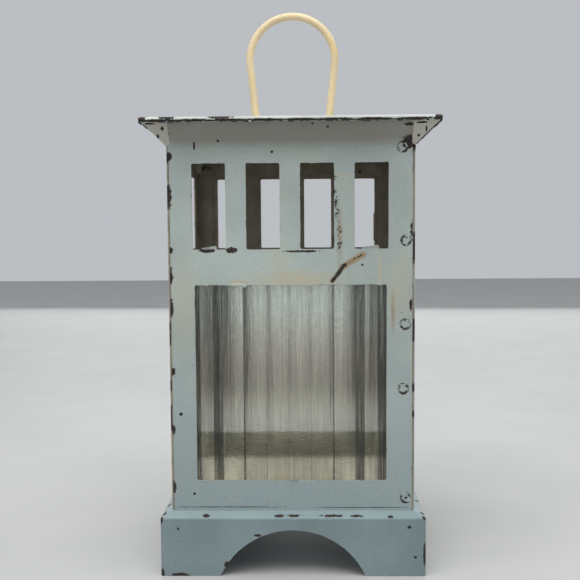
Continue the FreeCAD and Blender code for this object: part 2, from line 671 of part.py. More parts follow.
def make_pin(label, middle):
    """A straight pin with a head at each end of the knuckles."""
    reach = "(sizes.hinge_height / 2 + sizes.knuckle_gap)"
    end = f"({reach} + sizes.pin_head)"
    return turned(label, BACK, "XZ_Plane", (f"-{HINGE_X}", middle, HINGE_Y), [
        ("0", f"-{end}"),
        ("sizes.pin_head_radius", f"-{end}"),
        ("sizes.pin_head_radius", f"-{reach}"),
        ("sizes.pin_radius", f"-{reach}"),
        ("sizes.pin_radius", reach),
        ("sizes.pin_head_radius", reach),
        ("sizes.pin_head_radius", end),
        ("0", end),
    ])


def make_knob():
    """A turned knob whose shank is peened over inside the door."""
    face = f"-{DOOR_OUTER}"
    inside = f"-{DOOR_INNER} + sizes.washer_thickness"
    body = turned("door_knob", BACK, "XY_Plane", ("places.knob_x", "0", "places.knob_z"), [
        ("0", f"{inside} + sizes.knob_peen"),
        ("1.7 * sizes.knob_shank", f"{inside} + sizes.knob_peen"),
        ("1.7 * sizes.knob_shank", inside),
        ("sizes.knob_shank", inside),
        ("sizes.knob_shank", face),
        ("0.8 * sizes.knob_radius", face),
        ("0.8 * sizes.knob_radius", f"{face} - sizes.knob_flange"),
        ("0.45 * sizes.knob_radius", f"{face} - sizes.knob_flange - sizes.knob_cove"),
        ("0.45 * sizes.knob_radius", f"{face} - 0.38 * sizes.knob_length"),
        ("sizes.knob_radius", f"{face} - 0.55 * sizes.knob_length"),
        ("sizes.knob_radius", f"{face} - 0.8 * sizes.knob_length"),
        ("0.6 * sizes.knob_radius", f"{face} - sizes.knob_length"),
        ("0", f"{face} - sizes.knob_length"),
    ])
    outer = place("door_outer") + 0.5 * size("knob_length")
    fillet(body, "0.18 * sizes.knob_radius",
           lambda e: isinstance(e.Curve, Part.Circle) and e.BoundBox.Center.y < -outer)
    return body


def make_washer():
    body = new_body("knob_washer", BACK)
    ring = new_sketch(body, "XZ_Plane", along=f"{DOOR_INNER} - sizes.washer_thickness")
    circle(ring, "places.knob_x", "places.knob_z", "sizes.washer_radius")
    circle(ring, "places.knob_x", "places.knob_z", "sizes.knob_shank + sizes.pin_clearance")
    pad(body, ring, "sizes.washer_thickness")
    return body


def make_stud():
    """A shouldered stud welded to the back wall, with a head that keeps the turn button on."""
    head = "(places.button_outer + sizes.pin_clearance)"
    body = turned("latch_stud", BACK, "XY_Plane", ("places.button_x", "0", "places.button_z"), [
        ("0", f"-{HALF}"),
        ("sizes.stud_shoulder", f"-{HALF}"),
        ("sizes.stud_shoulder", "-places.button_inner + sizes.pin_clearance"),
        ("sizes.stud_radius", "-places.button_inner + sizes.pin_clearance"),
        ("sizes.stud_radius", f"-{head}"),
        ("sizes.stud_shoulder", f"-{head}"),
        ("sizes.stud_shoulder", f"-{head} - 0.5 * sizes.stud_head"),
        ("0.5 * sizes.stud_shoulder", f"-{head} - sizes.stud_head"),
        ("0", f"-{head} - sizes.stud_head"),
    ])
    return body


def make_button():
    """A flat turn button that hangs from its stud and turns over the door's edge."""
    body = new_body("turn_button", BACK)
    blade = new_sketch(body, "XZ_Plane", along="places.button_inner")
    side = "sizes.button_width / 2"
    rectangle(blade, f"places.button_x - {side}", f"places.button_x + {side}",
              "places.button_z - sizes.button_reach", "places.button_z")
    pad(body, blade, "sizes.button_thickness")
    eye = new_sketch(body, "XZ_Plane", along="places.button_inner")
    circle(eye, "places.button_x", "places.button_z", side)
    pad(body, eye, "sizes.button_thickness")
    bottom = place("button_z") - size("button_reach")
    fillet(body, "0.45 * sizes.button_width", lambda e: runs_along(e, Y_AXIS) and near(e, z=bottom))
    hole = new_sketch(body, "XZ_Plane")
    circle(hole, "places.button_x", "places.button_z", "sizes.stud_radius + sizes.pin_clearance")
    pocket(body, hole)
    return body


# ------------------------------------------------------------------ bail and ears
def make_ear(label, turn):
    """An angle bracket: a foot riveted to the roof and an upright with the trunnion's hole."""
    body = new_body(label, turn)
    upright = new_sketch(body, "YZ_Plane", along="sizes.ear_inside")
    wide = "sizes.ear_half_width"
    rectangle(upright, f"-{wide}", wide, ROOF, PIVOT)
    pad(body, upright, "sizes.ear_thickness")
    top = new_sketch(body, "YZ_Plane", along="sizes.ear_inside")
    circle(top, "0", PIVOT, wide)
    pad(body, top, "sizes.ear_thickness")
    foot = new_sketch(body, "XY_Plane", along=ROOF)
    rectangle(foot, "sizes.ear_inside", "sizes.ear_inside + sizes.ear_thickness + sizes.ear_foot",
              f"-{wide}", wide)
    pad(body, foot, "sizes.ear_thickness")
    end = place("ear_end")
    fillet(body, f"0.5 * {wide}", lambda e: runs_along(e, Z_AXIS) and near(e, x=end))
    hole = new_sketch(body, "YZ_Plane")
    circle(hole, "0", PIVOT, "sizes.wire_radius + sizes.pin_clearance")
    pocket(body, hole)
    rivet = new_sketch(body, "XY_Plane")
    circle(rivet, "places.ear_rivet", "0", "sizes.rivet_radius + sizes.pin_clearance")
    pocket(body, rivet)
    return body


def rivet_profile(head_face, tail_face):
    """Half of a rivet's outline between the faces that its head and its tail press on."""
    head, wide = "sizes.rivet_head", "sizes.rivet_head_radius"
    return [
        ("0", f"{tail_face} - 0.7 * {head}"),
        (f"0.7 * {wide}", f"{tail_face} - 0.7 * {head}"),
        (f"0.85 * {wide}", tail_face),
        ("sizes.rivet_radius", tail_face),
        ("sizes.rivet_radius", head_face),
        (wide, head_face),
        (f"0.88 * {wide}", f"{head_face} + 0.55 * {head}"),
        (f"0.5 * {wide}", f"{head_face} + {head}"),
        ("0", f"{head_face} + {head}"),
    ]


def make_ear_rivets():
    body = turned("ear_rivets", FRONT, "XZ_Plane", ("places.ear_rivet", "0", "0"),
                  rivet_profile(f"({ROOF} + sizes.ear_thickness)", "places.lip_top"), several=True)
    mirror(body, [body.Tip], "YZ_Plane")
    return body


def make_cup_rivet():
    return turned("cup_rivet", FRONT, "XZ_Plane", ("0", "0", "0"),
                  rivet_profile(f"({BASE} + {SHEET})", f"({BASE} - {SHEET})"))


def make_cup():
    """A shallow pressed cup with a turned-out rim, riveted to the plinth through its middle."""
    radius, thick = "sizes.cup_radius", SHEET
    top = f"({BASE} + sizes.cup_height)"
    hole = "(sizes.rivet_radius + sizes.pin_clearance)"
    body = turned("candle_cup", FRONT, "XZ_Plane", ("0", "0", "0"), [
        (hole, BASE),
        (radius, BASE),
        (radius, f"{top} - {thick}"),
        (f"{radius} + sizes.cup_lip", f"{top} - {thick}"),
        (f"{radius} + sizes.cup_lip", top),
        (f"{radius} - {thick}", top),
        (f"{radius} - {thick}", f"{BASE} + {thick}"),
        (hole, f"{BASE} + {thick}"),
    ])
    rim = size("cup_radius")
    floor = size("base_height")
    fillet(body, f"0.9 * {thick}",
           lambda e: isinstance(e.Curve, Part.Circle) and abs(e.Curve.Radius - rim) < 0.01
           and near(e, z=floor))
    return body


def draw_bail_path(sketch):
    """The middle of half the wire: trunnion, bend, leaning leg and half loop, each tangent to the next."""
    lean = math.radians(size("bail_lean"))
    radius, bend = size("bail_radius"), size("bail_bend")
    pivot, centre = place("pivot"), place("bail_centre")
    tangent = FreeCAD.Vector(radius * math.cos(lean), centre - radius * math.sin(lean), 0)
    bend_x = tangent.x - (tangent.y - pivot - bend) * math.tan(lean) + bend / math.cos(lean)
    foot = FreeCAD.Vector(bend_x - bend * math.cos(lean), pivot + bend + bend * math.sin(lean), 0)
    outer = place("trunnion_end")
    upright = FreeCAD.Vector(0, 0, 1)
    loop = Part.Circle(FreeCAD.Vector(0, centre, 0), upright, radius)
    corner = Part.Circle(FreeCAD.Vector(bend_x, pivot + bend, 0), upright, bend)
    straight = Part.LineSegment(FreeCAD.Vector(outer, pivot, 0), FreeCAD.Vector(bend_x, pivot, 0))
    trunnion = sketch.addGeometry(straight)
    turn = sketch.addGeometry(Part.ArcOfCircle(corner, math.pi - lean, 1.5 * math.pi))
    leg = sketch.addGeometry(Part.LineSegment(foot, tangent))
    arch = sketch.addGeometry(Part.ArcOfCircle(loop, -lean, math.pi / 2))
    sketch.addConstraint(Sketcher.Constraint("Tangent", trunnion, 2, turn, 2))
    sketch.addConstraint(Sketcher.Constraint("Tangent", turn, 1, leg, 1))
    sketch.addConstraint(Sketcher.Constraint("Tangent", leg, 2, arch, 1))
    sketch.addConstraint(Sketcher.Constraint("Horizontal", trunnion))
    sketch.addConstraint(Sketcher.Constraint("PointOnObject", arch, 2, -2))
    tie(sketch, "DistanceX", -1, 1, trunnion, 1, outer, "places.trunnion_end")
    tie(sketch, "DistanceY", -1, 1, trunnion, 1, pivot, PIVOT)
    tie(sketch, "Radius", turn, bend, "sizes.bail_bend")
    tie(sketch, "Radius", arch, radius, "sizes.bail_radius")
    sketch.addConstraint(Sketcher.Constraint("PointOnObject", arch, 3, -2))
    tie(sketch, "DistanceY", -1, 1, arch, 3, centre, "places.bail_centre")
    tie(sketch, "Angle", leg, math.pi / 2 - lean, "90 - sizes.bail_lean")
    doc.recompute()


def make_bail():
    """A round wire: a loop, two legs that lean in, and two trunnions bent outwards with peened ends."""
    body = new_body("bail_handle")
    path = new_sketch(body, "XZ_Plane")
    draw_bail_path(path)
    wire = new_sketch(body, "YZ_Plane", along="places.trunnion_end")
    circle(wire, "0", PIVOT, "sizes.wire_radius")
    pipe = body.newObject("PartDesign::AdditivePipe", "Pipe")
    pipe.Profile = wire
    pipe.Spine = (path, [])
    doc.recompute()
    end = new_sketch(body, "YZ_Plane", along="places.trunnion_end - sizes.head_length / 2")
    circle(end, "0", PIVOT, "sizes.head_radius")
    head = pad(body, end, "sizes.head_length")
    mirror(body, [pipe, head], "YZ_Plane")
    return body


# ---------------------------------------------------------------------- assembly
def make_all():
    """Every piece of the lantern, from the ground up."""
    pieces = [
        make_plinth(),
        make_wall("front_wall", FRONT),
        make_wall("right_wall", RIGHT),
        make_wall("back_wall", BACK, doorway=True),
        make_wall("left_wall", LEFT),
        make_roof(),
        make_door(),
        make_pane("door_glass", BACK, DOOR_INNER, "places.door_pane_half"),
        make_tabs("door_glass_tabs", BACK, DOOR_INNER),
    ]
    for name, turn in (("front", FRONT), ("right", RIGHT), ("left", LEFT)):
        pieces.append(make_pane(f"{name}_glass", turn, INNER, "places.pane_half"))
        pieces.append(make_tabs(f"{name}_glass_tabs", turn, INNER))
    for name in ("lower", "upper"):
        middle = f"places.hinge_{name}"
        pieces.append(make_fixed_leaf(f"hinge_leaf_{name}", middle))
        pieces.append(make_door_leaf(f"door_leaf_{name}", middle))
        pieces.append(make_pin(f"hinge_pin_{name}", middle))
    pieces += [
        make_knob(),
        make_washer(),
        make_stud(),
        make_button(),
        make_cup(),
        make_cup_rivet(),
        make_ear("bail_ear_right", FRONT),
        make_ear("bail_ear_left", BACK),
        make_ear_rivets(),
        make_bail(),
    ]
    return pieces


def check(pieces):
    """Stops unless every object of the document is sound and every piece is a valid solid."""
    doc.recompute()
    for item in doc.Objects:
        if "Invalid" in item.State or "Error" in item.State:
            raise RuntimeError(f"{item.Label} failed: {item.State}")
    for piece in pieces:
        if piece.Shape.isNull() or not piece.Shape.isValid() or not piece.Shape.Solids:
            raise RuntimeError(f"{piece.Label} isn't a valid solid")


pieces = make_all()
check(pieces)
os.makedirs("parts", exist_ok=True)
for piece in pieces:
    piece.Shape.exportStep(f"parts/{piece.Label}.step")
    print(f"{piece.Label}: {len(piece.Shape.Solids)} solid(s), {piece.Shape.Volume:.1f} mm3")
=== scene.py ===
"""Looks for the hurricane candle lantern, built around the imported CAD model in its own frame, in metres."""
import math
import random

import bmesh
import bpy
from mathutils import Matrix, Vector, noise


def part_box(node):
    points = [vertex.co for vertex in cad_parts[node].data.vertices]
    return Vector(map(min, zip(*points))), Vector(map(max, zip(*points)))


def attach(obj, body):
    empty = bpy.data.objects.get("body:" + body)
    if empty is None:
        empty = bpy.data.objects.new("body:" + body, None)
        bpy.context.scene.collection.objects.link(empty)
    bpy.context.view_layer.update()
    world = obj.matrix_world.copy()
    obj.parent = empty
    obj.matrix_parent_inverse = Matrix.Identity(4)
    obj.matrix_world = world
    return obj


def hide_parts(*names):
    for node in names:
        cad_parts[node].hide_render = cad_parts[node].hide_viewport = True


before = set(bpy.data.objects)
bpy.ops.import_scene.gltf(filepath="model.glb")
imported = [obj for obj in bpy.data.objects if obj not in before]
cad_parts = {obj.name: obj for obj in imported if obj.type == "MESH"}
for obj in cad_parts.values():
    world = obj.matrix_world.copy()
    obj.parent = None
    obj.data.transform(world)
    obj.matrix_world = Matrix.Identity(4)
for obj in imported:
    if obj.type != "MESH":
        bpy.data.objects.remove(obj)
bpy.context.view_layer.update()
MM = 0.001


# ------------------------------------------------------------------ measures from the frame
def span(node):
    """The two corners of a node's box, in millimetres."""
    low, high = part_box(node)
    return low / MM, high / MM


PLINTH_LOW, PLINTH_HIGH = span("plinth")
ROOF_LOW, ROOF_HIGH = span("roof_plate")
PANE_SET = 0.7  # how far a pane lies behind its wall's outer face
SIDE = -span("front_glass")[0].y + PANE_SET  # from the middle to a wall's outer face
SHEET = 0.6
BASE = PLINTH_HIGH.z
# heights on a wall: its vents, its window, and the foot and lean of its flared flap
VENT_TOP, VENT_BOTTOM = 168.15, 133.7
WINDOW_TOP, WINDOW_BOTTOM = 119.25, 38.9
FLARE = 175.8
FLARE_LEAN = math.radians(36.0)


# ------------------------------------------------------------------ node helpers
def floats(values):
    return tuple(float(v) for v in values)


def scaled(tone, *factors):
    """A colour times one factor, or times one for each of its three parts."""
    return tuple(c * f for c, f in zip(tone, factors if len(factors) == 3 else factors * 3))


class Nodes:
    """Builds a material's nodes: every method adds one node and returns its output."""

    def __init__(self, name):
        self.material = bpy.data.materials.new(name)
        self.material.use_nodes = True
        self.tree = self.material.node_tree
        self.shader = self.tree.nodes["Principled BSDF"]
        self.output = self.tree.nodes["Material Output"]
        coordinates = self.tree.nodes.new("ShaderNodeTexCoord")
        self.place = self.vector("MULTIPLY", coordinates.outputs["Object"], (1000.0, 1000.0, 1000.0))

    def feed(self, socket, value):
        if isinstance(value, bpy.types.NodeSocket):
            self.tree.links.new(value, socket)
        elif isinstance(value, tuple) and len(value) == 3 and socket.type == "RGBA":
            socket.default_value = (*value, 1.0)
        else:
            socket.default_value = value

    def math(self, operation, *values, clamp=False):
        node = self.tree.nodes.new("ShaderNodeMath")
        node.operation = operation
        node.use_clamp = clamp
        for socket, value in zip(node.inputs, values):
            self.feed(socket, value)
        return node.outputs[0]

    def vector(self, operation, *values):
        node = self.tree.nodes.new("ShaderNodeVectorMath")
        node.operation = operation
        for socket, value in zip(node.inputs, values):
            self.feed(socket, value)
        return node.outputs["Value" if operation in ("LENGTH", "DOT_PRODUCT", "DISTANCE") else "Vector"]

    def noise(self, scale, detail=3.0, rough=0.55, stretch=(1, 1, 1), shift=(0, 0, 0)):
        """Noise whose scale is in features per millimetre."""
        node = self.tree.nodes.new("ShaderNodeTexNoise")
        place = self.vector("MULTIPLY_ADD", self.place, floats(stretch), floats(shift))
        self.feed(node.inputs["Vector"], place)
        node.inputs["Scale"].default_value = scale
        node.inputs["Detail"].default_value = detail
        node.inputs["Roughness"].default_value = rough
        node.inputs["Distortion"].default_value = 0.0
        return node.outputs["Fac"]

    def cells(self, scale, shift):
        """Voronoi cells whose scale is in cells per millimetre; returns all the node's outputs."""
        node = self.tree.nodes.new("ShaderNodeTexVoronoi")
        self.feed(node.inputs["Vector"], self.vector("ADD", self.place, floats(shift)))
        node.inputs["Scale"].default_value = scale
        return node.outputs

    def ramp(self, value, start, end, low=0.0, high=1.0):
        """Goes smoothly from low to high as the value goes from start to end."""
        node = self.tree.nodes.new("ShaderNodeMapRange")
        node.interpolation_type = "SMOOTHSTEP"
        for name, number in (("From Min", start), ("From Max", end), ("To Min", low), ("To Max", high)):
            node.inputs[name].default_value = number
        self.feed(node.inputs["Value"], value)
        return node.outputs["Result"]

    def mix(self, factor, first, second, mode="MIX"):
        node = self.tree.nodes.new("ShaderNodeMix")
        node.data_type = "RGBA"
        node.blend_type = mode
        self.feed(node.inputs["Factor"], factor)
        self.feed(node.inputs["A"], first)
        self.feed(node.inputs["B"], second)
        return node.outputs["Result"]

    def xyz(self, source=None):
        node = self.tree.nodes.new("ShaderNodeSeparateXYZ")
        self.feed(node.inputs[0], source if source is not None else self.place)
        return node.outputs

    def edges(self, radius, low, high):
        """1 on edges and folds sharper than the radius in millimetres, 0 on open faces."""
        bevel = self.tree.nodes.new("ShaderNodeBevel")
        bevel.samples = 6
        bevel.inputs["Radius"].default_value = radius * MM
        geometry = self.tree.nodes.new("ShaderNodeNewGeometry")
        turn = self.vector("DOT_PRODUCT", bevel.outputs["Normal"], geometry.outputs["Normal"])
        return self.ramp(turn, high, low)

    def away(self, centre, radii=(1, 1, 1)):
        """Distance from a place in millimetres, counted in radii along the three axes."""
        offset = self.vector("SUBTRACT", self.place, floats(centre))
        return self.vector("LENGTH", self.vector("DIVIDE", offset, floats(radii)))

    def blob(self, centre, radii):
        """A soft spot round a place in millimetres, with its radii along the three axes."""
        return self.ramp(self.away(centre, radii), 1.0, 0.0)

    def torn(self, distance, tatter, tearing, edge):
        """1 inside an edge at that distance, which the tatter noise tears, more with more tearing."""
        broken = self.math("MULTIPLY_ADD", tatter, tearing, distance)
        edge += 0.5 * tearing
        return self.ramp(broken, edge + 0.05, edge - 0.05)

    def most(self, *values):
        result = values[0]
        for value in values[1:]:
            result = self.math("MAXIMUM", result, value)
        return result

    def bump(self, height, strength, distance, normal=None):
        """A bump whose distance is in millimetres, on top of another normal if there is one."""
        node = self.tree.nodes.new("ShaderNodeBump")
        node.inputs["Strength"].default_value = strength
        node.inputs["Distance"].default_value = distance * MM
        self.feed(node.inputs["Height"], height)
        if normal is not None:
            self.feed(node.inputs["Normal"], normal)
        return node.outputs["Normal"]

    def finish(self, colour, rough, normal, metallic=0.0, specular=0.5):
        self.feed(self.shader.inputs["Base Color"], colour)
        self.feed(self.shader.inputs["Roughness"], rough)
        self.feed(self.shader.inputs["Normal"], normal)
        self.feed(self.shader.inputs["Metallic"], metallic)
        self.shader.inputs["Specular IOR Level"].default_value = specular
        return self.material


FLUTE_PITCH = 9.15
FLUTE_DEPTH = 0.8
FLUTE_SHIFT = 3.67  # from a pane's middle to the middle of the channel nearest it

# colours that more than one paint shares
BODY = (0.362, 0.418, 0.402)
PLINTH = (0.184, 0.246, 0.258)
# the body's paint drawn lighter on the roof: a painted highlight where the roof's top catches the light
ROOF = (0.50, 0.52, 0.49)
# soot with painted shade, for a wall's inner face
SOOT_AND_SHADE = (0.195, 0.175, 0.135)
SOOT_STREAK = (0.15, 0.105, 0.06)
BARE = (0.012, 0.011, 0.011)
RUST = (0.13, 0.062, 0.026)
CREAM = (0.50, 0.44, 0.32)
YELLOWED = (0.42, 0.38, 0.26)
SMEAR = (0.27, 0.20, 0.11)
# painted shade: the brownish dark of the flared flaps in the roof's shadow
SHADE_UNDER_ROOF = (0.215, 0.188, 0.158)
# cream enamel of the floor inside the body, made lighter as painted light on it
LIT_INDOOR_CREAM = (0.72, 0.68, 0.56)
CUT_EDGE = (0.36, 0.31, 0.23)
TARNISH = (0.09, 0.075, 0.05)


# ------------------------------------------------------------------ materials
def painted_tone(n, tone, noises, yellow, painted_shade, ledge):
    """The paint's colour before it wears: mottled, yellowed, with painted shade darker low on a body and
    brownish under the roof, a painted highlight on a ledge's top, and painted light on the cream floor
    inside.
    """
    wide, cloud, grain, tatter, brushed, fine = noises
    height_z = n.xyz()[2]
    light = tuple(min(1.0, c) for c in scaled(tone, 1.10))
    colour = n.mix(n.ramp(wide, 0.35, 0.68), scaled(tone, 0.86), light)
    yellowing = n.math("MULTIPLY", n.ramp(cloud, 0.45, 0.75), yellow)
    colour = n.mix(yellowing, colour, scaled(tone, 1.02, 0.94, 0.70))
    colour = n.mix(n.math("MULTIPLY", n.ramp(brushed, 0.45, 0.8), 0.22), colour, light)
    colour = n.mix(n.math("MULTIPLY", n.ramp(tatter, 0.52, 0.72), 0.3), colour, scaled(tone, 0.78))
    # painted shade: the body darker and bluer towards the bottom
    painted_low_shade = n.ramp(height_z, 110, 30, 0.0, 0.9 if painted_shade else 0.0)
    colour = n.mix(painted_low_shade, colour, scaled(tone, 0.70, 0.75, 0.80))
    if ledge:
        # painted highlight: the plinth's top ledge lighter, where the light from above falls on it
        upper = n.ramp(height_z, ledge - 0.2, ledge + 0.5, 0.0, 0.65)
        colour = n.mix(upper, colour, scaled(tone, 1.3))
        # the floor inside the body: cream enamel, made lighter to paint the light that falls on it through
        # the windows
        out = n.xyz(n.vector("ABSOLUTE", n.place))
        lit_floor_inside = n.ramp(n.math("MAXIMUM", out[0], out[1]), SIDE - 0.4, SIDE - 1.2)
        lit_floor_inside = n.math("MULTIPLY", lit_floor_inside, n.ramp(height_z, BASE - 0.5, BASE - 0.1))
        lit_floor_inside = n.math("MULTIPLY", lit_floor_inside, n.ramp(cloud, 0.2, 0.7, 0.75, 1.0))
        colour = n.mix(lit_floor_inside, colour, LIT_INDOOR_CREAM)
    colour = n.mix(n.math("MULTIPLY", n.ramp(grain, 0.44, 0.28), 0.30), colour, light)
    shade = n.mix(n.ramp(fine, 0.36, 0.64), (0.89, 0.89, 0.88), (1.05, 1.05, 1.05))
    colour = n.mix(1.0, colour, shade, "MULTIPLY")
    # painted shade: a brownish darkening on the flared flaps just under the roof, where its shadow falls
    if painted_shade:
        film = n.ramp(height_z, FLARE - 2.5, FLARE + 2.0)
        film = n.math("MULTIPLY", film, n.ramp(cloud, 0.2, 0.7, 0.8, 1.0))
        colour = n.mix(n.math("MULTIPLY", film, painted_shade), colour, SHADE_UNDER_ROOF)
    return colour


def speckled(n, tatter, grain, shift):
    """Pin-head chips: a few larger ones, and many fine ones."""
    spot = n.cells(0.115, shift)
    chosen, sized = n.xyz(spot["Color"])[0:2]
    size = n.ramp(sized, 0.0, 1.0, 0.016, 0.055)
    broken = n.math("MULTIPLY_ADD", tatter, 0.05, spot["Distance"])
    dot = n.math("LESS_THAN", broken, n.math("ADD", size, 0.02))
    dot = n.math("MULTIPLY", dot, n.ramp(chosen, 0.80, 0.82))
    fine = n.cells(0.42, (shift[1], shift[2], shift[0]))
    fine_dot = n.math("LESS_THAN", n.math("MULTIPLY_ADD", grain, 0.05, fine["Distance"]), 0.10)
    fine_dot = n.math("MULTIPLY", fine_dot, n.ramp(n.xyz(fine["Color"])[2], 0.82, 0.84))
    return n.most(dot, fine_dot)


def soot_and_shade_inside(n, colour, inside, cloud, brushed):
    """Adds soot and painted shade on a wall's inner face, and a duller tone on the edges cut through its
    sheet.
    """
    axis, sign, middle = inside
    height_z = n.xyz()[2]
    deep = n.math("MULTIPLY", n.xyz()[axis], float(sign))
    within = n.ramp(deep, middle + 0.1, middle - 0.1)
    geometry = n.tree.nodes.new("ShaderNodeNewGeometry")
    facing = n.math("ABSOLUTE", n.xyz(geometry.outputs["True Normal"])[axis])
    cut = n.math("MULTIPLY", n.ramp(facing, 0.5, 0.3), n.ramp(height_z, FLARE - 1.0, FLARE - 3.0))
    cut = n.math("MULTIPLY", cut, n.ramp(cloud, 0.25, 0.6, 0.45, 0.95))
    colour = n.mix(cut, colour, CUT_EDGE)
    # soot and painted shade: the inner faces dark brown, as they lie in shade
    soot = n.mix(n.ramp(cloud, 0.35, 0.7), SOOT_AND_SHADE, scaled(SOOT_AND_SHADE, 1.5))
    soot = n.mix(n.math("MULTIPLY", n.ramp(brushed, 0.5, 0.8), 0.4), soot, SOOT_STREAK)
    return n.mix(within, colour, soot)


def aged_paint(name, tone, seed, wear=1.0, inside=None, marks=(), stains=(), specks=1.0, yellow=0.35,
               painted_shade=0.0, rings=(), ledge=0.0):
    """Old brushed enamel over black, chipped along its edges and where its marks say.

    A mark is a place, its radii, how much noise tears it, and maybe how much sparser it is; a stain is a
    place, radii, a strength and maybe a colour; a ring is a place, a radius and its tearing.
    """
    n = Nodes(name)
    shift = (seed * 37.0, seed * 11.0, seed * 23.0)
    wide = n.noise(0.022, 3, 0.5, shift=shift)
    cloud = n.noise(0.085, 4, 0.6, shift=shift)
    grain = n.noise(0.9, 4, 0.65, shift=shift)
    tatter = n.noise(0.75, 5, 0.78, shift=(shift[1], shift[2], shift[0]))
    brushed = n.noise(0.55, 3, 0.6, stretch=(1, 1, 0.12), shift=shift)
    fine = n.noise(3.2, 2, 0.6, shift=shift)
    colour = painted_tone(n, tone, (wide, cloud, grain, tatter, brushed, fine), yellow, painted_shade, ledge)
    for centre, radii, strength, *tint in stains:
        spread = n.math("MULTIPLY", n.blob(centre, radii), n.ramp(tatter, 0.3, 0.58, 0.4, 1.0))
        spread = n.math("MULTIPLY", spread, strength, clamp=True)
        colour = n.mix(spread, colour, tint[0] if tint else YELLOWED)
    # the bevel finds the edges, and two noises break the wear along them into chips
    chipping = n.noise(0.16, 5, 0.68, shift=(shift[2], shift[0], shift[1]))
    ragged = n.math("MULTIPLY_ADD", tatter, 0.45, chipping)
    worn = n.math("MULTIPLY_ADD", n.edges(0.8, 0.80, 0.995), 0.36 * wear, ragged)
    chip = n.most(n.ramp(worn, 1.155, 1.17), n.math("MULTIPLY", speckled(n, tatter, grain, shift), specks))
    for centre, radii, tearing, *sparse in marks:
        edge = 0.92 - (sparse[0] if sparse else 0.0)
        chip = n.most(chip, n.torn(n.away(centre, radii), tatter, tearing, edge))
    for centre, radius, tearing in rings:
        off = n.math("ABSOLUTE", n.math("SUBTRACT", n.away(centre), radius))
        chip = n.most(chip, n.torn(off, tatter, tearing, 0.30))
    halo = n.math("MULTIPLY", n.ramp(worn, 1.03, 1.13), 0.55 * min(wear, 1.0))
    colour = n.mix(halo, colour, CREAM)
    if inside is not None:
        colour = soot_and_shade_inside(n, colour, inside, cloud, brushed)
    colour = n.mix(chip, colour, n.mix(n.ramp(grain, 0.5, 0.72), BARE, RUST))
    rough = n.math("MULTIPLY_ADD", chip, 0.25, n.ramp(grain, 0.3, 0.75, 0.36, 0.56))
    height = n.math("MULTIPLY_ADD", brushed, 0.35, n.math("MULTIPLY", wide, 1.6))
    height = n.math("MULTIPLY_ADD", tatter, 0.22, height)
    soft = n.bump(height, 0.5, 0.5)
    normal = n.bump(n.math("MULTIPLY", chip, -1.0), 0.8, 0.12, soft)
    return n.finish(colour, rough, normal, specular=0.4)


def weld_scale(name, bared):
    """Bared black steel with flakes of paint left on it; more of it is bare as that number grows."""
    n = Nodes(name)
    flake = n.noise(0.55, 5, 0.7)
    grain = n.noise(2.0, 3, 0.6)
    colour = n.mix(n.ramp(flake, bared, bared + 0.04), BARE, scaled(BODY, 0.9))
    colour = n.mix(n.math("MULTIPLY", n.ramp(grain, 0.55, 0.7), 0.4), colour, RUST)
    return n.finish(colour, n.ramp(flake, 0.4, 0.6, 0.7, 0.45), n.bump(flake, 0.6, 0.15))


def tin(name, tone, seed, soot=0.4):
    """Dull tinned steel with rolling streaks, tarnish and a little rust at its edges."""
    n = Nodes(name)
    shift = (seed * 19.0, seed * 7.0, seed * 13.0)
    streak = n.noise(1.4, 4, 0.6, stretch=(0.15, 1, 1), shift=shift)
    cloud = n.noise(0.25, 4, 0.6, shift=shift)
    grain = n.noise(2.2, 3, 0.6, shift=shift)
    colour = n.mix(n.ramp(streak, 0.35, 0.7), tone, scaled(tone, 1.35))
    colour = n.mix(n.math("MULTIPLY", n.ramp(cloud, 0.4, 0.7), soot), colour, TARNISH)
    rusty = n.math("MULTIPLY_ADD", n.edges(0.5, 0.8, 0.99), 0.25, grain)
    colour = n.mix(n.ramp(rusty, 0.66, 0.78), colour, RUST)
    rough = n.ramp(cloud, 0.3, 0.7, 0.38, 0.62)
    normal = n.bump(n.math("MULTIPLY_ADD", grain, 0.4, streak), 0.35, 0.15)
    return n.finish(colour, rough, normal, metallic=n.ramp(rusty, 0.78, 0.66, 0.1, 0.85))


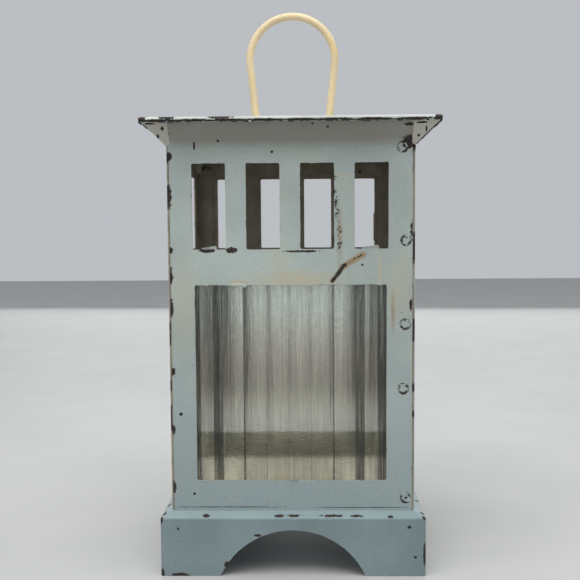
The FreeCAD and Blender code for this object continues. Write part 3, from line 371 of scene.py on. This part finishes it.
def ribbed_glass(name, axis, middle, shift):
    """Old pressed glass, faintly green, with a fine stipple; lamps' shadow rays pass through it."""
    n = Nodes(name)
    pebble = n.noise(1.5, 3, 0.6)
    drawn = n.noise(1.1, 3, 0.55, stretch=(1, 1, 0.045))
    dust = n.noise(0.05, 4, 0.6)
    height_z = n.xyz()[2]
    tint = n.mix(n.ramp(dust, 0.35, 0.75), (0.71, 0.75, 0.705), (0.66, 0.69, 0.635))
    # painted light: the glass clearer and cream low on the pane, so the floor inside seen through it looks
    # lit
    tint = n.mix(n.ramp(height_z, 62, 54), tint, (0.92, 0.89, 0.77))
    turned = n.math("DIVIDE", n.math("SUBTRACT", n.xyz()[1 - axis], middle), FLUTE_PITCH)
    across = n.math("MULTIPLY_ADD", turned, FLUTE_PITCH, shift)
    off_centre = n.math("ABSOLUTE", across)
    # dirt and painted shade lie along each rib, on the side away from the pane's middle, and wider towards
    # the pane's sides; the near-black lines also stand for the shaded inner walls seen through the ribs
    outward = n.math("SUBTRACT", n.math("FRACT", turned), 0.5)
    outward = n.math("MULTIPLY", outward, n.math("SIGN", across))
    wide = n.ramp(off_centre, 20.0, 28.0)
    ragged = n.math("ABSOLUTE", n.math("MULTIPLY_ADD", wide, -0.17, outward))
    ragged = n.math("MULTIPLY_ADD", n.noise(1.8, 4, 0.8), 0.14, ragged)
    width = n.math("MULTIPLY_ADD", wide, 0.18, 0.115)
    streak = n.noise(1.5, 4, 0.7, stretch=(1, 1, 0.02))
    faint = n.ramp(drawn, 0.3, 0.62, 0.0, 0.25)
    strong = n.ramp(streak, 0.36, 0.60, 0.35, 1.0)
    outer = n.ramp(off_centre, 9.0, 15.0)
    grime_and_shade = n.math("MULTIPLY_ADD", n.math("SUBTRACT", strong, faint), outer, faint)
    grime_and_shade = n.math("MULTIPLY", grime_and_shade, n.ramp(n.math("SUBTRACT", width, ragged), 0.0, 0.03))
    smoke = n.math("MULTIPLY", n.ramp(height_z, 108, 84), n.ramp(height_z, 58, 74))
    tint = n.mix(n.math("MULTIPLY", smoke, n.ramp(drawn, 0.2, 0.7, 0.6, 1.0)), tint, (0.69, 0.655, 0.60))
    streaks = n.mix(n.ramp(streak, 0.34, 0.66), (0.80, 0.80, 0.80), (1.06, 1.06, 1.06))
    tint = n.mix(1.0, tint, streaks, "MULTIPLY")
    # painted shade: a dark band low on the pane, for the shaded inner face of the back wall's lower rail seen
    # through it; and dust that scatters the light above and below it, which also paints light on the floor
    # seen through the pane
    torn = n.math("MULTIPLY_ADD", n.noise(1.3, 5, 0.85), 4.6, height_z)
    torn = n.math("MULTIPLY_ADD", n.math("SUBTRACT", streak, 0.75), 2.0, torn)
    painted_rail_shade = n.math("MULTIPLY", n.ramp(torn, 61.2, 60.2), n.ramp(torn, 48.6, 51.5))
    film = n.math("MULTIPLY", n.ramp(height_z, 80, 65, 0.0, 0.19), n.ramp(torn, 60.2, 61.4))
    film = n.most(film, n.ramp(torn, 51.5, 48.6, 0.0, 0.15))
    tint = n.mix(n.math("MULTIPLY", painted_rail_shade, 0.8), tint, (0.56, 0.57, 0.48))
    # dirt and painted shade: near-black along the ribs
    tint = n.mix(grime_and_shade, tint, (0.055, 0.056, 0.045))
    n.feed(n.shader.inputs["Base Color"], tint)
    n.feed(n.shader.inputs["Transmission Weight"], n.math("SUBTRACT", 1.0, film))
    n.shader.inputs["IOR"].default_value = 1.5
    n.feed(n.shader.inputs["Roughness"], n.ramp(pebble, 0.35, 0.7, 0.04, 0.11))
    height = n.math("MULTIPLY_ADD", drawn, 0.9, pebble)
    n.feed(n.shader.inputs["Normal"], n.bump(height, 0.5, 0.3))
    path = n.tree.nodes.new("ShaderNodeLightPath")
    clear = n.tree.nodes.new("ShaderNodeBsdfTransparent")
    clear.inputs["Color"].default_value = (0.84, 0.87, 0.83, 1.0)
    blend = n.tree.nodes.new("ShaderNodeMixShader")
    n.feed(blend.inputs[0], path.outputs["Is Shadow Ray"])
    n.feed(blend.inputs[1], n.shader.outputs[0])
    n.feed(blend.inputs[2], clear.outputs[0])
    n.feed(n.output.inputs["Surface"], blend.outputs[0])
    return n.material


def turned_about(point, turn):
    """A place given on the front wall, turned about Z in quarter turns."""
    x, y, z = point
    for _ in range(turn):
        x, y = -y, x
    return (x, y, z)


def weld_jitter(turn, index):
    """How much higher a wall's spot weld sits than the same one on the front."""
    return noise.noise(Vector((turn * 3.3, index * 1.7, 0.5))) * (0.0 if turn == 0 else 2.0)


# ------------------------------------------------------------------ marks and paints
def trail(start, end, count, radii, *rest):
    """A row of spots on the front wall from one place (across, height) to another."""
    spots = []
    for i in range(count):
        t = i / (count - 1)
        place = (start[0] + (end[0] - start[0]) * t, -SIDE, start[1] + (end[1] - start[1]) * t)
        spots.append((place, (radii[0], 3, radii[1]), *rest))
    return spots


FRONT_MARKS = [
    # place and radii in millimetres, how much the noise tears it, and maybe how much sparser it is
    ((-49.2, -50, 171.0), (1.7, 3, 2.1), 0.8),
    ((-48.6, -50.5, 180.6), (1.9, 3, 1.5), 1.4),
    ((-49.5, -50, 155.0), (1.5, 3, 6.0), 2.0),
    ((-49.3, -50, 133.5), (1.8, 3, 1.5), 1.2),
    ((-49.4, -50, 110.0), (1.6, 3, 4.8), 1.8),
    ((-49.2, -50, 84.0), (1.8, 3, 1.8), 1.4),
    ((-49.5, -50, 123.0), (1.5, 3, 4.2), 2.2),
    ((-49.4, -50, 60.0), (1.4, 3, 2.6), 1.8),
    ((-49.4, -50, 36.0), (1.4, 3, 3.0), 1.8),
    ((46.9, -50.5, 176.0), (2.6, 3, 3.2), 1.9),
    ((46.8, -53, 182.6), (2.4, 3, 1.0), 1.2),
    *trail((16.8, 163.0), (20.0, 136.0), 6, (1.3, 3.6), 6.0, 0.55),
    *trail((16.6, 120.8), (21.4, 127.0), 8, (0.95, 0.8), 1.7),
    *trail((22.0, 127.6), (28.2, 131.2), 6, (1.3, 0.9), 4.0, 0.75),
    ((28.6, -50, 127.2), (0.5, 3, 0.5), 0.3),
    ((-29.0, -50, 177.0), (0.6, 3, 0.6), 0.3),
    ((-7.5, -50, 172.6), (0.6, 3, 0.6), 0.3),
    ((14.8, -54, 181.8), (0.6, 4, 0.5), 0.3),
    ((8.8, -54, 183.0), (0.6, 4, 0.4), 0.3),
    ((-38.6, -50, 175.2), (0.5, 3, 1.8), 1.0),
    ((-34.0, -50, 133.2), (3.4, 3, 0.8), 2.0),
    ((-24.0, -50, 133.4), (2.6, 3, 1.3), 1.6),
    ((4.5, -50, 132.8), (8.0, 3, 0.5), 2.6),
    ((-45.6, -50, 66.5), (0.8, 3, 0.8), 0.3),
    ((-40.5, -50, 33.3), (0.6, 3, 0.6), 0.3),
    ((48.2, -50, 111.0), (0.6, 3, 2.6), 2.0),
    ((48.4, -50, 141.0), (0.8, 3, 5.0), 3.0, 0.3),
    ((-26.0, -50, 27.7), (24.0, 3, 0.17), 2.2),
    ((28.0, -50, 27.5), (19.0, 3, 0.17), 2.2),
    ((45.4, -50, 174.6), (1.3, 3, 1.2), 3.4, 0.6),
    ((46.4, -50, 137.9), (1.3, 3, 1.2), 3.4, 0.6),
    ((46.3, -50, 31.6), (1.5, 3, 1.3), 3.4, 0.5),
]
WELD_RIM = 2.0
WELDS = [(44.8, 174.1), (46.2, 136.9), (46.0, 103.1), (45.2, 76.8), (46.3, 31.6)]
FRONT_STAINS = [
    ((2, -50, 121.5), (30, 6, 6), 0.85),
    ((-4, -50, 128), (6, 6, 10), 0.4),
    ((44, -50, 118), (9, 6, 22), 0.45),
    ((35.5, -50, 124.5), (1.6, 6, 14), 0.75),
    ((41.0, -50, 108), (1.4, 6, 13), 0.85, SMEAR),
    ((19.5, -50, 139), (2.0, 6, 20), 0.6, SMEAR),
    *trail((21.0, 126.6), (28.8, 131.3), 7, (2.3, 1.8), 1.5, SMEAR),
    *trail((16.4, 120.6), (20.6, 126.2), 5, (1.6, 1.6), 1.0, SMEAR),
    ((-44, -50, 112), (8, 6, 30), 0.5),
    ((-22, -50, 120.5), (6, 6, 1.6), 1.0),
    ((12, -50, 163), (40, 6, 1.3), 0.5),
]
SIDE_STAINS = [
    # for a wall seen from its own front: across, height, radii, strength
    (-12, 122, (26, 6), 0.7),
    (20, 126, (5, 12), 0.5),
    (-30, 128, (4, 9), 0.5),
    (44, 90, (6, 40), 0.35),
]


def edge_chips(axis, sign, seed, count=11, bottom=30.0, top=183.0):
    """Chips at random heights along both upright edges of a wall, and a few in its face."""
    random.seed(seed)
    marks = []
    for _ in range(count):
        centre = [0.0, 0.0, random.uniform(bottom, top)]
        centre[axis] = sign * SIDE
        centre[1 - axis] = random.choice((-1, 1)) * (SIDE - random.uniform(0.3, 1.2))
        tall = random.choice((1.0, 1.6, 3.0, 5.0)) * random.uniform(0.8, 1.3)
        radii = [2.2, 2.2, tall]
        radii[1 - axis] = random.uniform(1.1, 2.0)
        marks.append((tuple(centre), tuple(radii), random.uniform(1.0, 2.2)))
    for _ in range(5):
        centre = [0.0, 0.0, random.choice((32.5, 122.0, 128.0, 172.0)) + random.uniform(-2, 2)]
        centre[axis] = sign * SIDE
        centre[1 - axis] = random.uniform(-44, 44)
        wide = random.uniform(0.5, 1.3)
        marks.append((tuple(centre), (wide * 1.4, wide * 1.4, wide), random.uniform(0.4, 1.6)))
    return marks


def weld_places(axis, sign):
    """Where the black rims round a wall's spot welds lie; each wall is the front one turned about Z."""
    turn = {(0, 1): 1, (1, 1): 2, (0, -1): 3}[axis, sign]
    return [(turned_about((x, -SIDE, z + weld_jitter(turn, i)), turn), WELD_RIM, 2.0)
            for i, (x, z) in enumerate(WELDS)]


def wall_paint(name, axis, sign, seed):
    """The paint of the right, back or left wall, with its own chips, stains and weld rims."""
    stains = []
    for across, height, (wide, tall), strength in SIDE_STAINS:
        centre = [0.0, 0.0, height]
        radii = [wide, wide, tall]
        centre[axis] = sign * SIDE
        centre[1 - axis] = across * (-1) ** seed
        radii[axis] = 6
        stains.append((tuple(centre), tuple(radii), strength))
    return aged_paint(name, BODY, seed, inside=(axis, sign, SIDE - SHEET / 2), stains=stains, painted_shade=0.8,
                      rings=weld_places(axis, sign), marks=edge_chips(axis, sign, seed))


def plinth_chips():
    """Chips along the fold and the lower edge of the plinth's other three sides."""
    random.seed(31)
    marks = []
    for turn in (1, 2, 3):
        for _ in range(9):
            height = random.choice((24.9, 24.9, 0.5))
            place = turned_about((random.uniform(-52, 52), PLINTH_LOW.y + 0.5, height), turn)
            wide, tall = random.uniform(0.8, 2.6), random.uniform(0.4, 0.8)
            radii = (wide, 2.0, tall) if turn == 2 else (2.0, wide, tall)
            marks.append((place, radii, random.uniform(1.2, 2.4)))
    return marks


FRONT_PAINT = aged_paint("front_paint", BODY, 1, inside=(1, -1, SIDE - SHEET / 2), painted_shade=0.8,
                         rings=[((x, -SIDE, z), WELD_RIM, 2.0) for x, z in WELDS],
                         marks=FRONT_MARKS, stains=FRONT_STAINS)
RIGHT_PAINT = wall_paint("right_paint", 0, 1, 2)
BACK_PAINT = wall_paint("back_paint", 1, 1, 3)
LEFT_PAINT = wall_paint("left_paint", 0, -1, 4)
PLINTH_PAINT = aged_paint("plinth_paint", PLINTH, 5, wear=1.05, yellow=0.25, ledge=BASE - 2.0, marks=[
    ((-35.5, -53.6, 25.0), (1.7, 2, 0.7), 1.0), ((-5.5, -53.6, 24.9), (2.4, 2, 0.55), 1.4),
    ((0.5, -53.6, 24.9), (3.4, 2, 0.5), 2.6), ((16.0, -53.6, 24.9), (5.0, 2, 0.45), 3.0),
    ((26.5, -53.8, 24.9), (3.0, 2, 0.5), 2.6), ((40.0, -53.8, 24.6), (1.2, 2, 0.5), 1.6),
    ((-47.0, -54.3, 19.8), (0.6, 2, 0.6), 0.3), ((47.5, -54.3, 20.5), (0.9, 2, 0.7), 0.8),
    ((-54.0, -54.0, 23.6), (0.9, 1.6, 1.9), 1.6), ((54.0, -54.0, 24.4), (1.4, 1.6, 1.0), 1.4),
    ((-46.5, -54.3, 0.4), (3.6, 3, 0.9), 2.2), ((-53.9, -54.0, 1.0), (1.2, 3, 2.4), 1.6),
    ((-26.8, -54.3, 4.8), (1.5, 3, 1.6), 1.4), ((-14.5, -54.3, 17.0), (1.8, 3, 0.6), 1.6),
    ((53.9, -54.0, 9.0), (0.8, 3, 5.0), 2.0), ((50.0, -54.3, 8.0), (0.7, 3, 0.6), 0.8)] + plinth_chips())


def roof_marks():
    """Chips along the roof's rim on all sides and at its corners, and knocks round the bail's ears."""
    marks = [((x, -59.5, 183.9), (9.0, 1.4, 0.8), 1.7) for x in (-52, -38, -24, -10, 4, 18, 33, 50)]
    random.seed(66)
    edge = ROOF_HIGH.x - 0.3
    for turn in range(4):
        for _ in range(7 if turn else 2):
            place = (random.uniform(-56, 56), -edge, ROOF_HIGH.z - 0.2)
            radii = (random.uniform(1.5, 6.0), random.uniform(0.6, 1.5))
            radii = (radii[0], radii[1], 1.0) if turn % 2 == 0 else (radii[1], radii[0], 1.0)
            marks.append((turned_about(place, turn), radii, random.uniform(1.2, 2.6)))
        corner = turned_about((edge - 0.6, -edge + 0.6, ROOF_HIGH.z - 0.6), turn)
        marks.append((corner, (2.6, 2.6, 1.8), 1.6))
    for side in (-1, 1):
        marks.append(((side * 24.0, 5.0, ROOF_HIGH.z), (4.0, 1.5, 1.0), 2.6, 0.3))
        marks.append(((side * 33.0, -1.0, ROOF_HIGH.z), (1.6, 4.0, 1.0), 2.6, 0.3))
    return marks


ROOF_STAINS = [
    ((-24, 0, 185.6), (11, 8, 3), 0.8, (0.26, 0.20, 0.12)),
    ((25, 0, 185.6), (12, 8, 3), 0.8, (0.26, 0.20, 0.12)),
    ((10, 28, 185.6), (26, 18, 3), 0.5),
    ((-30, -30, 185.6), (24, 20, 3), 0.4),
    ((40, -20, 185.6), (14, 26, 3), 0.4),
]
ROOF_PAINT = aged_paint("roof_paint", ROOF, 6, wear=1.25, marks=roof_marks(), stains=ROOF_STAINS)
DOOR_PAINT = aged_paint("door_paint", BODY, 7, inside=(1, 1, SIDE + 0.55), yellow=0.45)
BAIL_PAINT = aged_paint("bail_paint", (0.69, 0.56, 0.35), 8, wear=0.7, specks=0.6, yellow=0.6)
FITTING_PAINT = aged_paint("fitting_paint", (0.44, 0.48, 0.44), 9, wear=1.5)
TIN = tin("tinned_steel", (0.36, 0.34, 0.29), 1)
CUP_TIN = tin("cup_steel", (0.50, 0.46, 0.37), 2, soot=0.5)
BRASS = tin("old_brass", (0.42, 0.30, 0.12), 3, soot=0.3)


# ------------------------------------------------------------------ mesh helpers
def new_piece(name, mesh, body, material, smooth=True):
    """Puts a mesh in the scene, on a body and in a material slot."""
    piece = bpy.data.objects.new(name, mesh)
    bpy.context.scene.collection.objects.link(piece)
    mesh.materials.clear()
    mesh.materials.append(material)
    if smooth:
        mesh.polygons.foreach_set("use_smooth", [True] * len(mesh.polygons))
    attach(piece, body)
    return piece


def mesh_of(name, points, faces):
    """A mesh of points in millimetres."""
    mesh = bpy.data.meshes.new(name)
    mesh.from_pydata([Vector(p) * MM for p in points], [], faces)
    mesh.validate()
    work = bmesh.new()
    work.from_mesh(mesh)
    bmesh.ops.recalc_face_normals(work, faces=work.faces)
    work.to_mesh(mesh)
    work.free()
    mesh.update()
    return mesh


def assign(node, material):
    """Gives a CAD node its material."""
    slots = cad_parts[node].data.materials
    slots.clear()
    slots.append(material)


# ------------------------------------------------------------------ glass panes
def pane(name, node, axis, sign, body):
    """A pane with flutes down its inner face: concave channels between sharp ribs, and a faint relief."""
    low, high = span(node)
    across = 1 - axis
    left, right = low[across], high[across]
    outer, inner = (high[axis], low[axis]) if sign > 0 else (low[axis], high[axis])
    thick = abs(outer - inner)
    columns, rows = 320, 150
    hand = 1 if (axis == 1) == (sign < 0) else -1
    centre = (left + right) / 2 + hand * FLUTE_SHIFT
    glass = ribbed_glass(f"{name}_glass", axis, centre, hand * FLUTE_SHIFT)

    def place_point(u, z, depth):
        point = [0.0, 0.0, z]
        point[across] = u
        point[axis] = outer - sign * depth
        return tuple(point)

    def relief(u, z, seed):
        pebbles = noise.noise(Vector((u * 0.55, z * 0.55, seed))) * 0.035
        return pebbles + noise.noise(Vector((u * 0.9, z * 0.03, seed))) * 0.05

    points = []
    for side in (0, 1):
        for j in range(rows + 1):
            z = low.z + (high.z - low.z) * j / rows
            for i in range(columns + 1):
                u = left + (right - left) * i / columns
                if side == 0:
                    depth = 0.07 + relief(u, z, 3.0)
                else:
                    phase = ((u - centre) / FLUTE_PITCH + 0.5) % 1.0 - 0.5
                    channel = 1.0 - (abs(phase) * 2.0) ** 2.2
                    depth = thick - 0.09 - FLUTE_DEPTH * channel + relief(u, z, 9.0)
                points.append(place_point(u, z, depth))
    faces = []
    stride = columns + 1
    sheet = stride * (rows + 1)
    for side in (0, 1):
        for j in range(rows):
            for i in range(columns):
                a = side * sheet + j * stride + i
                faces.append((a, a + 1, a + stride + 1, a + stride))
    rim = [i for i in range(columns + 1)]
    rim += [j * stride + columns for j in range(1, rows + 1)]
    rim += [rows * stride + i for i in range(columns - 1, -1, -1)]
    rim += [j * stride for j in range(rows - 1, 0, -1)]
    for a, b in zip(rim, rim[1:] + rim[:1]):
        faces.append((a, b, b + sheet, a + sheet))
    piece = new_piece(name, mesh_of(name, points, faces), body, glass)
    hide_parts(node)
    return piece


pane("front_pane", "front_glass", 1, -1, "lantern")
pane("right_pane", "right_glass", 0, 1, "lantern")
pane("left_pane", "left_glass", 0, -1, "lantern")
pane("door_pane", "door_glass", 1, 1, "door")


# ------------------------------------------------------------------ small raised details
def weld_ring(points, faces, centre, radius, seed, turn):
    """The raised, broken rim that a spot weld leaves in the paint."""
    rings, around, half_width = 7, 40, 0.42
    first = len(points)
    for i in range(around):
        angle = 2 * math.pi * i / around
        wobble = noise.noise(Vector((math.cos(angle) * 1.6, math.sin(angle) * 1.6, seed * 5.3)))
        rim = radius * (1 + 0.16 * wobble)
        tall = 0.16 + 0.10 * noise.noise(
            Vector((math.cos(angle) * 3, math.sin(angle) * 3, seed * 2.1 + 4)))
        for k in range(rings):
            t = k / (rings - 1) * 2 - 1
            out = rim + t * half_width
            rise = tall * (1 - t * t) - 0.02
            points.append(turned_about((centre[0] + out * math.cos(angle), -SIDE - rise,
                                        centre[1] + out * math.sin(angle)), turn))
    for i in range(around):
        for k in range(rings - 1):
            a = first + i * rings + k
            b = first + ((i + 1) % around) * rings + k
            faces.append((a, a + 1, b + 1, b))


WELD_PAINT = weld_scale("weld_paint", 0.50)
BARE_EDGE = weld_scale("bared_hem", 0.60)
for turn, side in enumerate(("front", "right", "back", "left")):
    points, faces = [], []
    for index, (x, z) in enumerate(WELDS):
        weld_ring(points, faces, (x, z + weld_jitter(turn, index)), 1.75, index + 10 * turn, turn)
    new_piece(f"{side}_welds", mesh_of(f"{side}_welds", points, faces), "lantern", WELD_PAINT)


def crust(points, faces, start, turn, seed):
    """The ragged black line of bared, rusted edge that hangs under the roof's folded hem on one side."""
    stations = 420
    half = ROOF_HIGH.x - 0.9
    first = len(points)
    for i in range(stations + 1):
        x = -half + 2 * half * i / stations
        fine = noise.fractal(Vector((x * 0.55, seed, 0.0)), 1.0, 2.0, 5)
        broad = noise.noise(Vector((x * 0.06, seed * 2.0, 3.0)))
        drop = min(0.8, max(-0.15, 0.26 + 0.55 * fine + 0.36 * broad))
        front = start - 0.04 - 0.05 * abs(fine)
        for y, z in ((front, 0.15), (front, -drop), (front + 0.40, -drop * 0.8), (front + 0.55, 0.15)):
            points.append(turned_about((x, y, ROOF_LOW.z + z), turn))
    for i in range(stations):
        for k in range(4):
            a, b = first + 4 * i + k, first + 4 * i + (k + 1) % 4
            faces.append((a, b, b + 4, a + 4))


def gusset(points, faces, turn):
    """The folded corner piece that closes the gap between two flared flaps, just under the roof's hem."""
    top = ROOF_LOW.z - 0.03
    reach = SIDE + (top - FLARE) * math.tan(FLARE_LEAN)
    tip = ROOF_HIGH.x - 1.3
    near = SIDE - 1.3
    thick = 0.3
    outer = [(SIDE - 0.1, 0.1 - SIDE, FLARE - 0.8), (near, -reach - 0.03, top), (tip, -tip, top),
             (reach + 0.03, -near, top), (near, -SIDE - 0.05, FLARE - 0.4), (SIDE + 0.05, -near, FLARE - 0.4)]
    first = len(points)
    points += [turned_about(p, turn) for p in outer]
    points += [turned_about((x - thick, y + thick, z), turn) for x, y, z in outer]
    rim = (1, 2, 3, 5, 0, 4)
    sides = ((0, 2, 1), (0, 1, 4), (0, 3, 2), (0, 5, 3))
    faces += [tuple(first + i for i in side) for side in sides]
    faces += [tuple(first + 6 + i for i in reversed(side)) for side in sides]
    for a, b in zip(rim, rim[1:] + rim[:1]):
        faces.append((first + a, first + b, first + b + 6, first + a + 6))
    # a fillet of filler inside the corner, over the gap above the flange
    first = len(points)
    wall, back = SIDE - 0.62, SIDE - 2.6
    for z in (FLARE - 4.6, FLARE + 0.4):
        for x, y in ((back, -wall), (wall, -back), (wall - thick, thick - back),
                     (back - thick, thick - wall)):
            points.append(turned_about((x, y, z), turn))
    faces += [(first, first + 1, first + 2, first + 3), (first + 7, first + 6, first + 5, first + 4)]
    for k in range(4):
        a, b = first + k, first + (k + 1) % 4
        faces.append((a, b, b + 4, a + 4))


def lump(points, faces, centre, size, seed, lean=0.0):
    """A dried run or drop of paint: a flattened, uneven blob on the front wall."""
    around, up = 22, 12
    first = len(points)
    for j in range(up + 1):
        polar = math.pi * j / up
        for i in range(around):
            angle = 2 * math.pi * i / around
            x, y, z = (math.sin(polar) * math.cos(angle), math.sin(polar) * math.sin(angle), math.cos(polar))
            swell = 1 + 0.28 * noise.noise(Vector((x * 1.7 + seed, y * 1.7, z * 1.7)))
            points.append((centre[0] + size[0] * x * swell, centre[1] + size[1] * y * swell,
                           centre[2] + size[2] * z * swell + lean * x))
    for j in range(up):
        for i in range(around):
            a, b = first + j * around + i, first + j * around + (i + 1) % around
            faces.append((a, b, b + around, a + around))


def tongue(points, faces, left, right, foot, rise, seed):
    """A burr left by the punch: a thin lip that stands up from a vent's bottom edge and curls outwards."""
    columns, rows = 18, 6
    first = len(points)
    for side in (0, 1):
        for i in range(columns + 1):
            t = i / columns
            x = left + (right - left) * t
            tall = rise * (0.45 + 0.55 * t) * (1 - max(0.0, (abs(t - 0.5) - 0.42) / 0.16)) * \
                (1 + 0.15 * noise.noise(Vector((x * 0.9, seed, 0))))
            for k in range(rows + 1):
                r = k / rows
                y = -SIDE + 0.05 - 0.45 * r * r + 0.28 * side
                points.append((x, y, foot - 0.35 + (tall + 0.35) * r))
    stride = rows + 1
    sheet = stride * (columns + 1)
    for i in range(columns):
        for k in range(rows):
            a = first + i * stride + k
            faces.append((a, a + 1, a + stride + 1, a + stride))
            faces.append((a + sheet, a + sheet + stride, a + sheet + stride + 1, a + sheet + 1))
        top = first + i * stride + rows
        faces.append((top, top + sheet, top + sheet + stride, top + stride))
    for end in (first, first + columns * stride):
        for k in range(rows):
            faces.append((end + k, end + k + sheet, end + k + sheet + 1, end + k + 1))


points, faces = [], []
for turn in range(4):
    crust(points, faces, ROOF_LOW.y + 0.12, turn, 1.3 + turn * 7.7)
new_piece("hem_crust", mesh_of("hem_crust", points, faces), "lantern", BARE_EDGE, smooth=False)

points, faces = [], []
for turn in range(4):
    gusset(points, faces, turn)
# the body's paint drawn lighter on the corner gussets: painted light, as these corners sit in the roof's
# shade
GUSSET_PAINT_LIGHTENED = aged_paint("gusset_paint_lightened", (0.45, 0.44, 0.39), 10, wear=0.9, marks=[
    ((51.6, -55.6, 183.0), (2.4, 2, 0.45), 1.2), ((53.6, -54.8, 180.6), (0.4, 2, 1.3), 1.0),
    ((50.8, -52.0, 178.4), (0.6, 2, 0.6), 0.8), ((-50.6, -54.6, 181.6), (0.6, 2, 0.8), 1.4),
    ((-55.5, -57.0, 183.2), (2.2, 2, 0.4), 1.8), ((-52.6, -53.0, 178.8), (0.5, 2, 1.0), 1.2)])
new_piece("corner_gussets", mesh_of("corner_gussets", points, faces), "lantern", GUSSET_PAINT_LIGHTENED,
          smooth=False)

points, faces = [], []
tongue(points, faces, -36.2, -30.0, VENT_BOTTOM, 1.5, 1.0)
tongue(points, faces, 28.4, 35.4, VENT_BOTTOM, 1.6, 2.0)
tongue(points, faces, -1.2, 2.6, WINDOW_BOTTOM, 0.5, 3.0)
lump(points, faces, (-21.8, -SIDE - 0.05, WINDOW_TOP + 0.1), (3.4, 0.42, 0.75), 1.0)
lump(points, faces, (-19.4, -SIDE - 0.1, WINDOW_TOP - 0.2), (1.3, 0.4, 0.8), 2.0)
random.seed(5)
for index in range(16):
    x = random.uniform(-38, 37)
    z = random.choice((WINDOW_TOP + 0.15, WINDOW_BOTTOM - 0.2, VENT_TOP + 0.2))
    wide = random.uniform(0.8, 2.4)
    if z == VENT_TOP + 0.2 and all(abs(x + 0.4 - c) > 6 for c in (-32.8, -10.9, 10.9, 32.8)):
        continue
    lump(points, faces, (x, -SIDE + 0.02, z), (wide, 0.16, random.uniform(0.25, 0.5)), index + 5.0)
new_piece("front_burrs", mesh_of("front_burrs", points, faces), "lantern", FRONT_PAINT)


# ------------------------------------------------------------------ materials on the CAD nodes
assign("front_wall", FRONT_PAINT)
assign("right_wall", RIGHT_PAINT)
assign("back_wall", BACK_PAINT)
assign("left_wall", LEFT_PAINT)
assign("plinth", PLINTH_PAINT)
assign("roof_plate", ROOF_PAINT)
assign("door_panel", DOOR_PAINT)
assign("bail_handle", BAIL_PAINT)
for node in ("bail_ear_left", "bail_ear_right", "hinge_leaf_lower", "hinge_leaf_upper",
             "door_leaf_lower", "door_leaf_upper", "turn_button"):
    assign(node, FITTING_PAINT)
for node in ("front_glass_tabs", "right_glass_tabs", "left_glass_tabs", "door_glass_tabs", "knob_washer",
             "cup_rivet", "ear_rivets", "hinge_pin_lower", "hinge_pin_upper", "latch_stud"):
    assign(node, TIN)
assign("candle_cup", CUP_TIN)
assign("door_knob", BRASS)


# ------------------------------------------------------------------ floor, lights and camera
def floor_material():
    n = Nodes("pale_floor")
    tone = n.mix(n.ramp(n.noise(0.01, 3), 0.3, 0.7), (0.41, 0.415, 0.41), (0.44, 0.44, 0.435))
    return n.finish(tone, 0.6, n.bump(n.noise(0.4, 3), 0.1, 0.2))


FLOOR_REACH = 3000.0
floor_corners = [(x * FLOOR_REACH, y * FLOOR_REACH, 0) for x, y in ((-1, -1), (1, -1), (1, 1), (-1, 1))]
floor_mesh = mesh_of("floor", floor_corners, [(0, 1, 2, 3)])
floor = bpy.data.objects.new("floor", floor_mesh)
floor_mesh.materials.append(floor_material())
bpy.context.scene.collection.objects.link(floor)


def lamp(name, place, aim, size, power, colour):
    """A soft rectangular lamp; its places and size are in metres, its power in watts."""
    light = bpy.data.lights.new(name, "AREA")
    light.shape = "RECTANGLE"
    light.size, light.size_y = size
    light.energy = power
    light.color = colour
    holder = bpy.data.objects.new(name, light)
    holder.location = place
    holder.rotation_euler = (Vector(aim) - Vector(place)).to_track_quat("-Z", "Y").to_euler()
    bpy.context.scene.collection.objects.link(holder)


lamp("overhead", (-0.1, -0.38, 1.15), (0, 0, 0.1), (1.2, 1.0), 15, (1.0, 0.99, 0.97))
lamp("front_fill", (-0.5, -1.1, 0.55), (0, 0, 0.1), (1.0, 0.9), 1.6, (0.96, 0.98, 1.0))
lamp("right_fill", (1.1, -0.3, 0.5), (0, 0, 0.1), (0.8, 0.8), 2.5, (1.0, 0.98, 0.96))
lamp("back_glow", (0.1, 1.4, 0.5), (0, 0, 0.12), (1.6, 0.9), 6.0, (1.0, 1.0, 1.0))

world = bpy.data.worlds.new("studio")
world.use_nodes = True
world.node_tree.nodes["Background"].inputs["Color"].default_value = (0.80, 0.83, 0.87, 1)
world.node_tree.nodes["Background"].inputs["Strength"].default_value = 0.62
bpy.context.scene.world = world

# place in millimetres, angles in radians, lens and shift as shares of the picture's width
CAMERA = dict(place=(8.370, -434.700, 136.699), yaw=0.0235, pitch=0.0821, roll=-0.0067,
              lens=951.93 / 580.0, shift=30.0 / 580.0)
SENSOR = 36.0


def make_camera():
    """The camera at the angle from which the lantern is shown."""
    data = bpy.data.cameras.new("camera")
    data.sensor_width = SENSOR
    data.lens = CAMERA["lens"] * SENSOR
    data.shift_y = CAMERA["shift"]
    data.clip_start = 0.01
    yaw, pitch, roll = CAMERA["yaw"], CAMERA["pitch"], CAMERA["roll"]
    level = Vector((math.cos(yaw), math.sin(yaw), 0))
    ahead = Vector((-math.sin(yaw), math.cos(yaw), 0))
    rise = math.sin(pitch) * ahead + Vector((0, 0, math.cos(pitch)))
    view = math.cos(pitch) * ahead - Vector((0, 0, math.sin(pitch)))
    right = math.cos(roll) * level + math.sin(roll) * rise
    up = -math.sin(roll) * level + math.cos(roll) * rise
    camera = bpy.data.objects.new("camera", data)
    camera.matrix_world = Matrix((
        (right.x, up.x, -view.x, CAMERA["place"][0] * MM),
        (right.y, up.y, -view.y, CAMERA["place"][1] * MM),
        (right.z, up.z, -view.z, CAMERA["place"][2] * MM),
        (0, 0, 0, 1),
    ))
    bpy.context.scene.collection.objects.link(camera)
    bpy.context.scene.camera = camera


make_camera()
bpy.context.scene.view_settings.view_transform = "Standard"
